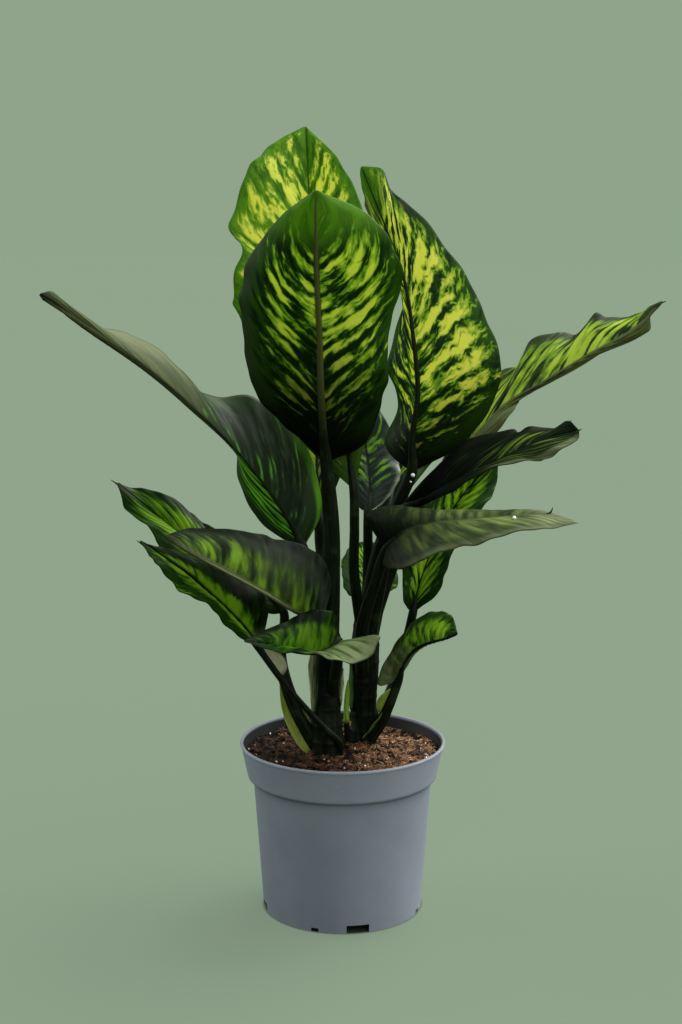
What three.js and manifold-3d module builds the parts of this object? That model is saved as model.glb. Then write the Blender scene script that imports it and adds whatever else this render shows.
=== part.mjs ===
// Potted dieffenbachia: a grey nursery pot, soil, two canes, a young shoot and seventeen leaves.
// Millimetres, +Z up. The origin is the centre of the flat pad under the pot, on the floor.
// The front of the plant looks along -Y.
import * as THREE from 'three';
import { mergeVertices } from 'three/addons/utils/BufferGeometryUtils.js';
import Module from 'manifold-3d';

const wasm = await Module();
wasm.setup();

// Pot
const potHeight = 177;
const rimRadius = 105;
const collarBottom = 140;
const collarFootRadius = 97.4;
const bodyTopRadius = 91.6;
const footRadius = 81.7;
const wall = 1.8;
const floorUnder = 6;
const floorTop = 8;
const padRadius = 18;
const potSides = 48;
const notchWidth = 23;
const notchHeight = 8.6;
const notchAngle = -79;
const notchReach = 20;
const slitWidth = 8;
const slitHeight = 4.2;
const slitAngle = -110;
const slitReach = 8;

// Soil
const soilGap = 0.3;
const soilEdge = 165;
const soilLevel = 166;
const mound = { x: 2, y: -8, reach: 42, height: 8 };
const hollow = { x: 52, y: 52, reach: 26, depth: 8 };
const lumps = { height: 1.2, alongX: 11, alongY: 13 };
const soilSectors = 28;

// Plant
const gap = 0.35;
const bladeThickness = 1.0;
const ribDepth = 2.2;
const stalkSides = 6;
const stalkFootTop = 180;
const caneSides = 12;
const caneRows = 14;
const shootSides = 8;
const shootRows = 10;
const leftWaveShift = 0.37;
const nearby = 0.01;

const materials = {
  pot: new THREE.MeshStandardMaterial({ color: 0x7f8d99, roughness: 0.55, metalness: 0 }),
  soil: new THREE.MeshStandardMaterial({ color: 0x3a2419, roughness: 0.95, metalness: 0 }),
  cane: new THREE.MeshStandardMaterial({ color: 0x1d3317, roughness: 0.5, metalness: 0 }),
  shoot: new THREE.MeshStandardMaterial({ color: 0x6f9a26, roughness: 0.5, metalness: 0 }),
  leaf: new THREE.MeshStandardMaterial({ color: 0x3f7a1f, roughness: 0.45, metalness: 0 }),
};

const group = new THREE.Group();

// ---------- small helpers ----------

function vec(p) {
  return new THREE.Vector3(p[0], p[1], p[2]);
}

// smooth curve through the points, u from 0 to 1, even in the number of the point
function along(points, u) {
  const last = points.length - 1;
  const first = points[0].clone().multiplyScalar(2).sub(points[1]);
  const after = points[last].clone().multiplyScalar(2).sub(points[last - 1]);
  const at = (k) => (k < 0 ? first : k > last ? after : points[k]);
  const place = u * last;
  const i = Math.min(Math.floor(place), last - 1);
  const f = place - i;
  const weights = [
    -f + 2 * f * f - f * f * f,
    2 - 5 * f * f + 3 * f * f * f,
    f + 4 * f * f - 3 * f * f * f,
    -f * f + f * f * f,
  ];
  const sum = new THREE.Vector3();
  weights.forEach((w, k) => sum.addScaledVector(at(i - 1 + k), w / 2));
  return sum;
}

function between(values, u) {
  const place = u * (values.length - 1);
  const i = Math.min(Math.floor(place), values.length - 2);
  return values[i] + (values[i + 1] - values[i]) * (place - i);
}

function solidFrom(points, triangles) {
  const geometry = new THREE.BufferGeometry();
  const flat = new Float32Array(points.length * 3);
  points.forEach((p, i) => p.toArray(flat, i * 3));
  geometry.setAttribute('position', new THREE.BufferAttribute(flat, 3));
  geometry.setIndex(triangles);
  return toManifold(geometry);
}

function toManifold(geometry) {
  const bare = geometry.clone();
  bare.deleteAttribute('normal');
  bare.deleteAttribute('uv');
  const merged = mergeVertices(bare, 1e-4);
  const mesh = new wasm.Mesh({
    numProp: 3,
    vertProperties: new Float32Array(merged.attributes.position.array),
    triVerts: new Uint32Array(merged.index.array),
  });
  mesh.merge();
  return new wasm.Manifold(mesh);
}

function toGeometry(solid) {
  const mesh = solid.getMesh();
  const step = mesh.numProp;
  const count = mesh.vertProperties.length / step;
  const flat = new Float32Array(count * 3);
  for (let i = 0; i < count; i += 1) {
    for (let k = 0; k < 3; k += 1) {
      flat[i * 3 + k] = mesh.vertProperties[i * step + k];
    }
  }
  const geometry = new THREE.BufferGeometry();
  geometry.setAttribute('position', new THREE.BufferAttribute(flat, 3));
  geometry.setIndex(Array.from(mesh.triVerts));
  geometry.computeVertexNormals();
  return geometry;
}

function addPiece(name, solid, material) {
  const mesh = new THREE.Mesh(toGeometry(solid), material.clone());
  mesh.name = name;
  group.add(mesh);
}

// round stalk through the points, with its own radius along the way and closed flat ends
function stalk(points, radii, sides, rows) {
  const path = points.map(vec);
  const ring = [];
  const verts = [];
  const tris = [];
  let side = null;
  for (let r = 0; r <= rows; r += 1) {
    const u = r / rows;
    const centre = along(path, u);
    const before = along(path, Math.max(u - nearby, 0));
    const ahead = along(path, Math.min(u + nearby, 1));
    const tangent = ahead.sub(before).normalize();
    if (side === null) {
      side = new THREE.Vector3(1, 0, 0);
    }
    side.addScaledVector(tangent, -side.dot(tangent)).normalize();
    const other = new THREE.Vector3().crossVectors(tangent, side);
    const radius = between(radii, u);
    ring.push(verts.length);
    for (let k = 0; k < sides; k += 1) {
      const a = (2 * Math.PI * k) / sides;
      const p = centre.clone();
      p.addScaledVector(side, radius * Math.cos(a));
      p.addScaledVector(other, radius * Math.sin(a));
      verts.push(p);
    }
  }
  for (let r = 0; r < rows; r += 1) {
    for (let k = 0; k < sides; k += 1) {
      const n = (k + 1) % sides;
      const a = ring[r] + k;
      const b = ring[r] + n;
      const c = ring[r + 1] + n;
      const d = ring[r + 1] + k;
      tris.push(a, b, c, a, c, d);
    }
  }
  const foot = verts.push(along(path, 0)) - 1;
  const top = verts.push(along(path, 1)) - 1;
  for (let k = 0; k < sides; k += 1) {
    const n = (k + 1) % sides;
    tris.push(foot, ring[0] + n, ring[0] + k);
    tris.push(top, ring[rows] + k, ring[rows] + n);
  }
  return solidFrom(verts, tris);
}

// ---------- leaves ----------

// A blade is stretched between its midrib and its two margins. v runs from -1 on the left
// margin over 0 on the midrib to 1 on the right one, seen on the upper side with the tip up.
// bulge arches each half, wave = [height, waves, start] ripples the margins.
function bladePoint(leaf, t, v) {
  const middle = along(leaf.mid, t);
  const margin = along(v > 0 ? leaf.rightEdge : leaf.leftEdge, t);
  const before = along(leaf.mid, Math.max(t - nearby, 0));
  const tangent = along(leaf.mid, Math.min(t + nearby, 1)).sub(before).normalize();
  const half = margin.sub(middle);
  const out = half.clone().multiplyScalar(v > 0 ? 1 : -1);
  const up = out.cross(tangent).normalize();
  const a = Math.abs(v);
  const swell = Math.sin(Math.PI * t) ** 0.7;
  const arch = leaf.bulge * 4 * a * (1 - a);
  const [height, waves, start] = leaf.wave;
  const shift = v > 0 ? start : start + leftWaveShift;
  const ripple = height * a * a * Math.sin(2 * Math.PI * (waves * t + shift));
  return middle.addScaledVector(half, a).addScaledVector(up, (arch + ripple) * swell);
}

function bladeSolid(leaf, rows, columns) {
  const grid = [];
  for (let i = 0; i <= rows; i += 1) {
    grid.push(columns.map((v) => bladePoint(leaf, i / rows, v)));
  }
  const wide = columns.length;
  const id = (i, j) => i * wide + j;
  const under = (rows + 1) * wide;
  const upper = [];
  const tris = [];
  for (let i = 0; i < rows; i += 1) {
    for (let j = 0; j < wide - 1; j += 1) {
      upper.push([id(i, j), id(i, j + 1), id(i + 1, j + 1)]);
      upper.push([id(i, j), id(i + 1, j + 1), id(i + 1, j)]);
    }
  }
  const flat = grid.flat();
  const normals = flat.map(() => new THREE.Vector3());
  upper.forEach(([a, b, c]) => {
    const n = flat[b].clone().sub(flat[a]).cross(flat[c].clone().sub(flat[a])).normalize();
    [a, b, c].forEach((k) => normals[k].add(n));
    tris.push(a, b, c);
    tris.push(under + a, under + c, under + b);
  });
  normals.forEach((n) => n.normalize());
  const verts = flat.map((p, k) => p.clone().addScaledVector(normals[k], bladeThickness / 2));
  flat.forEach((p, k) => {
    const v = Math.abs(columns[k % wide]);
    const t = Math.floor(k / wide) / rows;
    const rib = v === 0 ? ribDepth * (1 - 0.8 * t) : 0;
    verts.push(p.clone().addScaledVector(normals[k], -bladeThickness / 2 - rib));
  });
  for (let i = 0; i < rows; i += 1) {
    const l = id(i, 0);
    const m = id(i + 1, 0);
    tris.push(l, m, under + m, l, under + m, under + l);
    const r = id(i, wide - 1);
    const q = id(i + 1, wide - 1);
    tris.push(r, under + q, q, r, under + r, under + q);
  }
  for (let j = 0; j < wide - 1; j += 1) {
    const a = id(0, j);
    const b = id(0, j + 1);
    tris.push(a, under + a, under + b, a, under + b, b);
    const c = id(rows, j);
    const d = id(rows, j + 1);
    tris.push(c, under + d, under + c, c, d, under + d);
  }
  return solidFrom(verts, tris);
}

const widths = {
  tall: [-1, -0.72, -0.4, -0.1, 0, 0.1, 0.4, 0.72, 1],
  long: [-1, -0.6, -0.12, 0, 0.12, 0.6, 1],
  small: [-1, -0.6, -0.13, 0, 0.13, 0.6, 1],
};
const lengths = { tall: 16, long: 18, small: 12 };

function leafSolid(leaf) {
  leaf.mid = leaf.midrib.map(vec);
  const last = leaf.mid.length - 1;
  const left = leaf.left.map(vec);
  const right = leaf.right.map(vec);
  const foot = right[0].clone().sub(left[0]).normalize();
  const end = right[right.length - 1].clone().sub(left[left.length - 1]).normalize();
  const edge = (side, points) => [
    leaf.mid[0].clone().addScaledVector(foot, 2 * side),
    ...points,
    leaf.mid[last].clone().addScaledVector(end, side),
  ];
  leaf.leftEdge = edge(-1, left);
  leaf.rightEdge = edge(1, right);
  const blade = bladeSolid(leaf, lengths[leaf.size], widths[leaf.size]);
  const path = [...leaf.stem, leaf.midrib[0], leaf.midrib[1]];
  const radii = [...leaf.stemRadius, 2];
  const stem = stalk(path, radii, stalkSides, leaf.stem.length * 2 + 2);
  return blade.add(stem);
}

const leaves = [
  {
    name: 'leaf_front_tall',
    size: 'tall',
    cane: 'left',
    stem: [[-14, -22, 280], [-12, -27, 340], [-11, -31, 405]],
    stemRadius: [10, 9, 7.5, 6],
    midrib: [
      [-16, -34, 472], [-19, -42, 506], [-21, -50, 549], [-22, -58, 598],
      [-24, -64, 646], [-25, -68, 695], [-25, -68, 734],
    ],
    left: [[24, -22, 491], [41, -20, 536], [44, -24, 593], [58, -32, 653], [28, -48, 708]],
    right: [[-57, -22, 507], [-91, -20, 550], [-97, -24, 611], [-92, -32, 666], [-60, -48, 707]],
    bulge: -8,
    wave: [4, 3, 0.1],
  },
  {
    name: 'leaf_back_tall',
    size: 'tall',
    cane: 'right',
    stem: [[20, 10, 290], [12, 0, 350], [12, -5, 400]],
    stemRadius: [6, 5, 4.5, 4.5],
    midrib: [
      [11, -4, 441], [4, 8, 487], [-6, 24, 540], [-18, 40, 604],
      [-28, 56, 669], [-34, 70, 733], [-37, 80, 796],
    ],
    left: [
      [-42, 4, 488], [-84, 14, 549], [-99, 24, 604], [-111, 30, 631], [-101, 38, 674],
      [-111, 44, 697], [-100, 54, 742], [-83, 62, 768], [-60, 70, 785],
    ],
    right: [[24, 4, 500], [34, 16, 556], [35, 30, 625], [24, 46, 696], [1, 62, 757]],
    bulge: 5,
    wave: [5, 3.5, 0.25],
  },
  {
    name: 'leaf_right_tall',
    size: 'tall',
    cane: 'right',
    stem: [[24, 13, 300], [36, 7, 368], [55, -3, 422]],
    stemRadius: [8, 7, 6, 5.5],
    midrib: [
      [69, -8, 458], [70, -10, 494], [75, -10, 538], [70, -6, 593],
      [61, 2, 647], [43, 16, 697], [19, 32, 756],
    ],
    left: [
      [122, -4, 487], [156, 4, 545], [145, 10, 605], [114, 18, 663], [66, 26, 717],
      [48, 30, 735], [39, 32, 753],
    ],
    right: [
      [44, 30, 480], [55, 48, 520], [50, 56, 560], [61, 62, 623], [48, 60, 685],
      [27, 50, 715], [18, 40, 737],
    ],
    bulge: -5,
    wave: [4, 3, 0.6],
  },
  {
    name: 'leaf_left_long',
    size: 'long',
    cane: 'left',
    stem: [[-19, -14, 262], [-30, -5, 325]],
    stemRadius: [7, 6, 5.5],
    midrib: [
      [-40, -8, 380], [-59, -16, 418], [-93, -26, 468], [-134, -38, 515],
      [-180, -52, 560], [-230, -68, 600], [-284, -82, 638],
    ],
    left: [
      [-81, -2, 403], [-102, 0, 448], [-117, 12, 496], [-172, -6, 549], [-228, -40, 595],
      [-265, -72, 624], [-278, -78, 630],
    ],
    right: [
      [-21, 0, 425], [-43, 20, 495], [-89, 26, 525], [-132, 16, 532], [-161, 4, 559],
      [-207, -24, 593], [-240, -50, 612], [-262, -70, 626], [-272, -76, 640],
    ],
    bulge: 4,
    wave: [4, 4, 0],
  },
  {
    name: 'leaf_left_upper',
    size: 'small',
    cane: 'left',
    stem: [[-22, -16, 168], [-50, -6, 216], [-63, 4, 262]],
    stemRadius: [9, 7, 5.5, 4.5],
    midrib: [
      [-60, 12, 309], [-82, 20, 328], [-110, 30, 347], [-139, 44, 364],
      [-169, 58, 382], [-201, 72, 404], [-236, 84, 430],
    ],
    left: [
      [-80, 4, 311], [-117, 10, 325], [-156, 24, 346], [-188, 42, 369], [-203, 56, 390],
      [-226, 70, 406], [-233, 80, 422],
    ],
    right: [
      [-68, 30, 343], [-94, 48, 370], [-135, 64, 385], [-158, 74, 401], [-175, 80, 413],
      [-202, 84, 423], [-227, 86, 427],
    ],
    bulge: 3,
    wave: [3, 3, 0.2],
  },
  {
    name: 'leaf_left_front',
    size: 'long',
    cane: 'left',
    stem: [[-16, -28, 262], [-19, -38, 290]],
    stemRadius: [7, 6, 5.5],
    midrib: [
      [-20, -42, 316], [-44, -54, 323], [-70, -72, 344], [-98, -90, 365],
      [-124, -104, 383], [-146, -114, 398], [-167, -120, 414],
    ],
    left: [[-42, -34, 328], [-68, -38, 348], [-95, -50, 366], [-123, -70, 384], [-146, -94, 399]],
    right: [[-11, -42, 355], [-30, -46, 386], [-66, -54, 399], [-107, -74, 411], [-143, -100, 418]],
    bulge: 4,
    wave: [2.5, 3, 0.4],
  },
  {
    name: 'leaf_left_low',
    size: 'small',
    cane: 'left',
    stem: [[-6, -24, 164], [-3, -34, 184], [-24, -43, 209], [-56, -45, 247]],
    stemRadius: [7, 6, 5, 4.5, 4.5],
    midrib: [
      [-85, -30, 284], [-99, -40, 306], [-115, -50, 326], [-134, -60, 347],
      [-152, -68, 366], [-172, -74, 382], [-195, -78, 401],
    ],
    left: [
      [-97, -55, 297], [-117, -78, 323], [-134, -94, 343], [-155, -102, 360],
      [-176, -98, 378], [-184, -88, 389],
    ],
    right: [
      [-77, -14, 305], [-81, -10, 335], [-111, -18, 354], [-141, -36, 376],
      [-167, -56, 389], [-183, -72, 394],
    ],
    bulge: 4,
    wave: [2.5, 3, 0.7],
  },
  {
    name: 'leaf_front_low',
    size: 'small',
    cane: 'left',
    stem: [[-12, -26, 232], [-6, -46, 266]],
    stemRadius: [6, 5, 4.5],
    midrib: [
      [-4, -58, 297], [-17, -72, 291], [-33, -84, 292], [-49, -92, 296],
      [-64, -98, 301], [-79, -102, 305], [-94, -104, 308],
    ],
    left: [[36, -72, 305], [23, -92, 287], [-7, -106, 291], [-36, -112, 297], [-67, -112, 302]],
    right: [[-3, -54, 315], [-12, -62, 328], [-34, -72, 330], [-55, -82, 322], [-78, -94, 315]],
    bulge: 3,
    wave: [2, 2.5, 0.3],
  },
  {
    name: 'leaf_right_long',
    size: 'long',
    cane: 'right',
    stem: [[27, 15, 284], [50, 22, 352], [74, 16, 412]],
    stemRadius: [7, 6, 5, 4.5],
    midrib: [
      [98, 14, 456], [129, 20, 485], [164, 28, 520], [205, 38, 543],
      [249, 48, 568], [297, 56, 594], [326, 62, 621],
    ],
    left: [
      [130, 46, 521], [160, 58, 550], [182, 66, 559], [193, 72, 578], [220, 78, 588],
      [242, 80, 590], [260, 84, 605], [277, 82, 602], [301, 76, 609], [314, 68, 615],
    ],
    right: [
      [142, 4, 486], [169, 6, 511], [181, 40, 525], [211, 68, 542], [262, 76, 571],
      [285, 76, 584], [298, 72, 583], [313, 68, 595], [315, 64, 611],
    ],
    bulge: 4,
    wave: [4, 3.5, 0.5],
  },
  {
    name: 'leaf_right_middle',
    size: 'small',
    cane: 'right',
    stem: [[25, 7, 268], [37, -9, 338], [48, -14, 388]],
    stemRadius: [7, 6, 5, 4.5],
    midrib: [
      [55, -18, 418], [82, -28, 435], [110, -38, 453], [142, -48, 470],
      [172, -58, 487], [199, -66, 500], [226, -72, 508],
    ],
    left: [
      [78, -24, 450], [112, -22, 482], [127, -22, 493], [166, -26, 504], [172, -34, 499],
      [187, -42, 507], [206, -54, 509], [217, -66, 516],
    ],
    right: [
      [71, -24, 423], [105, -52, 446], [140, -66, 465], [174, -76, 480], [196, -82, 482],
      [214, -82, 493], [225, -76, 501],
    ],
    bulge: 3,
    wave: [3, 3, 0.1],
  },
  {
    name: 'leaf_right_front',
    size: 'long',
    cane: 'right',
    stem: [[21, 8, 236], [20, -22, 300], [33, -40, 352]],
    stemRadius: [7, 6, 5, 5],
    midrib: [
      [43, -48, 386], [58, -62, 407], [83, -74, 417], [113, -84, 422],
      [150, -94, 427], [189, -100, 430], [223, -104, 424],
    ],
    left: [[23, -34, 417], [53, -36, 427], [92, -42, 423], [134, -58, 422], [178, -80, 430]],
    right: [[42, -74, 374], [66, -102, 382], [106, -118, 402], [148, -126, 415], [190, -120, 421]],
    bulge: 6,
    wave: [2.5, 3, 0],
  },
  {
    name: 'leaf_right_back',
    size: 'small',
    cane: 'right',
    stem: [[26, 18, 174], [40, 27, 196], [54, 33, 230], [65, 33, 268]],
    stemRadius: [7, 6, 5, 4.5, 4.5],
    midrib: [
      [73, 32, 304], [78, 40, 326], [88, 52, 353], [102, 66, 382],
      [119, 80, 408], [140, 94, 432], [164, 106, 460],
    ],
    left: [[62, 30, 319], [63, 40, 347], [68, 52, 381], [92, 66, 420], [121, 86, 448]],
    right: [[97, 26, 325], [110, 36, 352], [122, 48, 387], [150, 66, 410], [162, 86, 433]],
    bulge: 3,
    wave: [2.5, 3, 0.3],
  },
  {
    name: 'leaf_right_low',
    size: 'small',
    cane: 'right',
    stem: [[25, 9, 174], [38, 0, 194], [46, -5, 212]],
    stemRadius: [8, 6.5, 5.5, 4.5],
    midrib: [
      [57, -8, 242], [62, -16, 261], [71, -24, 276], [83, -32, 286],
      [94, -38, 291], [104, -42, 295], [114, -44, 300],
    ],
    left: [[37, -2, 237], [45, 2, 264], [70, 10, 294], [92, 8, 311], [110, -12, 311]],
    right: [[59, 4, 244], [69, 10, 265], [80, 8, 279], [91, 4, 286], [103, -14, 291]],
    bulge: 3,
    wave: [2, 2.5, 0.6],
  },
  {
    name: 'leaf_centre_back',
    size: 'small',
    cane: 'right',
    stem: [[24, 17, 286], [26, 28, 345], [26, 25, 384]],
    stemRadius: [5.5, 5, 4.5, 4.5],
    midrib: [
      [26, 22, 412], [28, 32, 432], [27, 44, 451], [24, 56, 470],
      [20, 66, 489], [14, 74, 509], [6, 82, 531],
    ],
    left: [[16, 26, 417], [10, 40, 439], [2, 54, 462], [-4, 66, 487], [0, 76, 511]],
    right: [[42, 26, 420], [58, 38, 441], [57, 56, 464], [47, 70, 494], [31, 78, 517]],
    bulge: 3,
    wave: [2, 3, 0.2],
  },
  {
    name: 'leaf_rear_low',
    size: 'small',
    cane: 'right',
    stem: [[20, 18, 222], [16, 37, 268]],
    stemRadius: [5.5, 5, 4.5],
    midrib: [
      [19, 42, 310], [22, 60, 317], [24, 88, 321], [26, 120, 327],
      [27, 154, 333], [30, 187, 337], [34, 217, 340],
    ],
    left: [[6, 50, 321], [-1, 78, 331], [0, 112, 340], [6, 144, 347], [16, 178, 348]],
    right: [[45, 50, 319], [58, 78, 324], [58, 112, 331], [54, 144, 340], [47, 178, 344]],
    bulge: 3,
    wave: [3, 3, 0.8],
  },
  {
    name: 'leaf_rear_left',
    size: 'small',
    cane: 'left',
    stem: [[-12, -12, 250], [-13, 14, 322], [-22, 28, 368]],
    stemRadius: [6.5, 5.5, 5, 5],
    midrib: [
      [-24, 32, 402], [-26, 56, 442], [-27, 86, 478], [-29, 119, 508],
      [-31, 150, 530], [-34, 180, 544], [-38, 210, 550],
    ],
    left: [[-54, 48, 432], [-76, 82, 474], [-80, 118, 508], [-74, 150, 532], [-58, 182, 548]],
    right: [[-4, 50, 438], [16, 86, 482], [22, 122, 516], [14, 154, 538], [-6, 184, 552]],
    bulge: 4,
    wave: [3, 3, 0.5],
  },
  {
    name: 'leaf_rear_right',
    size: 'small',
    cane: 'right',
    stem: [[24, 18, 248], [37, 38, 306], [44, 48, 360]],
    stemRadius: [6, 5.5, 5, 5],
    midrib: [
      [46, 56, 400], [55, 82, 434], [66, 110, 464], [79, 140, 488],
      [92, 170, 506], [105, 200, 518], [117, 230, 522],
    ],
    left: [[28, 68, 422], [42, 98, 454], [53, 130, 482], [65, 162, 504], [85, 196, 518]],
    right: [[70, 78, 424], [96, 110, 450], [118, 140, 474], [130, 168, 494], [128, 198, 508]],
    bulge: 4,
    wave: [3, 3, 0.9],
  },
];

// ---------- canes and shoot ----------

const canes = {
  left: {
    path: [
      [-13, -18, 120], [-14, -18, 165], [-15, -18, 190], [-16, -18, 215],
      [-16, -18, 238], [-16, -19, 262], [-15, -20, 284], [-14, -21, 300],
    ],
    radius: [17, 18.5, 16, 14.8, 16, 17, 14.5, 11],
  },
  right: {
    path: [
      [20, 14, 120], [21, 14, 165], [22, 14, 192], [22, 14, 218],
      [23, 13, 244], [23, 13, 270], [24, 13, 298], [24, 13, 325],
    ],
    radius: [14, 15, 14, 14, 15, 15.6, 13, 9.5],
  },
};

function caneSolid(cane, grow) {
  return stalk(cane.path, cane.radius.map((r) => r + grow), caneSides, caneRows);
}

const shoot = {
  path: [[6, -2, 140], [6, -2, 180], [5, -1, 205], [7, 0, 226], [8, 0, 243]],
  radius: [3.6, 3.6, 3.4, 2.6, 0.6],
};

function shootSolid(grow) {
  return stalk(shoot.path, shoot.radius.map((r) => r + grow), shootSides, shootRows);
}

const caneSolids = { left: caneSolid(canes.left, 0), right: caneSolid(canes.right, 0) };
const caneRooms = { left: caneSolid(canes.left, gap), right: caneSolid(canes.right, gap) };
addPiece('cane_left', caneSolids.left, materials.cane);
addPiece('cane_right', caneSolids.right, materials.cane);
addPiece('shoot', shootSolid(0), materials.shoot);

leaves.forEach((leaf) => {
  const solid = leafSolid(leaf).subtract(caneRooms[leaf.cane]);
  addPiece(leaf.name, solid, materials.leaf);
});

// ---------- pot ----------

function lathe(profile, sides) {
  const points = profile.map(([r, z]) => new THREE.Vector2(r, z));
  const geometry = new THREE.LatheGeometry(points, sides);
  geometry.rotateX(Math.PI / 2);
  return toManifold(geometry);
}

function wedge(width, height, angle, reach) {
  const box = new THREE.BoxGeometry(reach, width, height + 2);
  box.translate(footRadius + 4 - reach / 2, 0, height / 2 - 1);
  box.rotateZ((angle * Math.PI) / 180);
  return toManifold(box);
}

const rimInside = rimRadius - 3.2;
const potProfile = [
  [0, 0],
  [padRadius, 0],
  [padRadius + 3, floorUnder],
  [footRadius - wall - 0.2, floorUnder],
  [footRadius - wall, 0],
  [footRadius, 0],
  [bodyTopRadius, collarBottom],
  [collarFootRadius, collarBottom + 1.5],
  [rimRadius - 1, potHeight - 3.4],
  [rimRadius, potHeight - 2.4],
  [rimRadius, potHeight - 0.9],
  [rimRadius - 0.9, potHeight],
  [rimRadius - 2.2, potHeight],
  [rimInside, potHeight - 1.2],
  [rimInside - 0.2, potHeight - 4],
  [collarFootRadius - wall, collarBottom + 3.4],
  [bodyTopRadius - wall, collarBottom + 1.8],
  [footRadius - wall + 0.5, floorTop],
  [padRadius + 4.6, floorTop],
  [padRadius + 1.6, 2],
  [0, 2],
];

let pot = lathe(potProfile, potSides);
for (let k = 0; k < 4; k += 1) {
  pot = pot.subtract(wedge(notchWidth, notchHeight, notchAngle + 90 * k, notchReach));
  pot = pot.subtract(wedge(slitWidth, slitHeight, slitAngle + 90 * k, slitReach));
}
addPiece('pot', pot, materials.pot);

// ---------- soil ----------

function soilHeight(x, y) {
  const up = Math.exp(-((x - mound.x) ** 2 + (y - mound.y) ** 2) / mound.reach ** 2);
  const down = Math.exp(-((x - hollow.x) ** 2 + (y - hollow.y) ** 2) / hollow.reach ** 2);
  const lump = Math.sin(x / lumps.alongX + 1) * Math.cos(y / lumps.alongY);
  return soilLevel + mound.height * up - hollow.depth * down + lumps.height * lump;
}

function soilSolid() {
  const inner = soilGap + wall;
  const rings = [
    [padRadius + 1.2, 2.4],
    [padRadius + 4.9, floorTop + 0.4],
    [footRadius - inner + 0.3, floorTop + 0.4],
    [bodyTopRadius - inner, collarBottom + 2.1],
    [collarFootRadius - inner, collarBottom + 3.8],
    [99.7, soilEdge],
  ];
  const topRings = [93, 82, 68, 52, 36, 18];
  const verts = [];
  const tris = [];
  const spin = (r, k) => {
    const a = (2 * Math.PI * k) / soilSectors;
    return [r * Math.cos(a), r * Math.sin(a)];
  };
  rings.forEach(([r, z]) => {
    for (let k = 0; k < soilSectors; k += 1) {
      const [x, y] = spin(r, k);
      verts.push(new THREE.Vector3(x, y, z));
    }
  });
  topRings.forEach((r) => {
    for (let k = 0; k < soilSectors; k += 1) {
      const [x, y] = spin(r, k);
      verts.push(new THREE.Vector3(x, y, soilHeight(x, y)));
    }
  });
  const count = rings.length + topRings.length;
  for (let i = 0; i < count - 1; i += 1) {
    for (let k = 0; k < soilSectors; k += 1) {
      const n = (k + 1) % soilSectors;
      const a = i * soilSectors + k;
      const b = i * soilSectors + n;
      tris.push(a, b, b + soilSectors, a, b + soilSectors, a + soilSectors);
    }
  }
  const foot = verts.push(new THREE.Vector3(0, 0, 2.4)) - 1;
  const top = verts.push(new THREE.Vector3(0, 0, soilHeight(0, 0))) - 1;
  const lastRing = (count - 1) * soilSectors;
  for (let k = 0; k < soilSectors; k += 1) {
    const n = (k + 1) % soilSectors;
    tris.push(foot, n, k);
    tris.push(top, lastRing + k, lastRing + n);
  }
  return solidFrom(verts, tris);
}

// stalks that leave their cane at the foot stand in holes of their own
function stemRoom(leaf) {
  const path = [...leaf.stem, leaf.midrib[0]];
  const radii = leaf.stemRadius.map((r) => r + gap);
  return stalk(path, radii, stalkSides, leaf.stem.length * 2);
}

let soil = soilSolid();
soil = soil.subtract(caneRooms.left).subtract(caneRooms.right).subtract(shootSolid(gap));
leaves.filter((leaf) => leaf.stem[0][2] < stalkFootTop).forEach((leaf) => {
  soil = soil.subtract(stemRoom(leaf));
});
addPiece('soil', soil, materials.soil);

export default group;
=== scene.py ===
import math
import random

import bpy
from mathutils import Matrix, Vector, noise


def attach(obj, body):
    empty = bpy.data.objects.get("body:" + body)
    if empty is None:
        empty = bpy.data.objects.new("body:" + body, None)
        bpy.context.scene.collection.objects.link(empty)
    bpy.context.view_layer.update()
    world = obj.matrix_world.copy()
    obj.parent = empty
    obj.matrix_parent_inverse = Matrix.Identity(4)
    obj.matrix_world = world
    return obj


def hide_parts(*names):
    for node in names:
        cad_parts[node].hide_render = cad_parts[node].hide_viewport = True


# Potted dieffenbachia: the pot, the soil, two canes, a shoot and seventeen leaves, in metres.
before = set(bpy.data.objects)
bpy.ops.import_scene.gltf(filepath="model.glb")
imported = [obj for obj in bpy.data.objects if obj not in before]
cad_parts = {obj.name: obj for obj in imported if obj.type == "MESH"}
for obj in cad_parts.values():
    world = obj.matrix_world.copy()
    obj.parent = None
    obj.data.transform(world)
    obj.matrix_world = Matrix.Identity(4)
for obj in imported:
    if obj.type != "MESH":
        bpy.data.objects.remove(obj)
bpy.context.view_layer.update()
mm = 0.001
print("stage: the packed plant is loaded")


def selectOnly(*chosen):
    bpy.ops.object.select_all(action="DESELECT")
    for piece in chosen:
        piece.select_set(True)
    bpy.context.view_layer.objects.active = chosen[0]


def inEditMode(piece, *steps):
    selectOnly(piece)
    bpy.ops.object.mode_set(mode="EDIT")
    bpy.ops.mesh.select_all(action="SELECT")
    for step in steps:
        step()
    bpy.ops.object.mode_set(mode="OBJECT")


def mergeSeam():
    bpy.ops.mesh.remove_doubles(threshold=0.00002)


def facesOut():
    bpy.ops.mesh.normals_make_consistent(inside=False)


def useModifier(piece, kind, **settings):
    selectOnly(piece)
    made = piece.modifiers.new(kind.title(), kind)
    for key, value in settings.items():
        setattr(made, key, value)
    bpy.ops.object.modifier_apply(modifier=made.name)


def finishPiece(piece, slotName, *nodes):
    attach(piece, "root")
    if nodes:
        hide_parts(*nodes)


def addPrimitive(operator, **settings):
    bpy.ops.object.select_all(action="DESELECT")
    operator(**settings)
    return bpy.context.object


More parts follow.
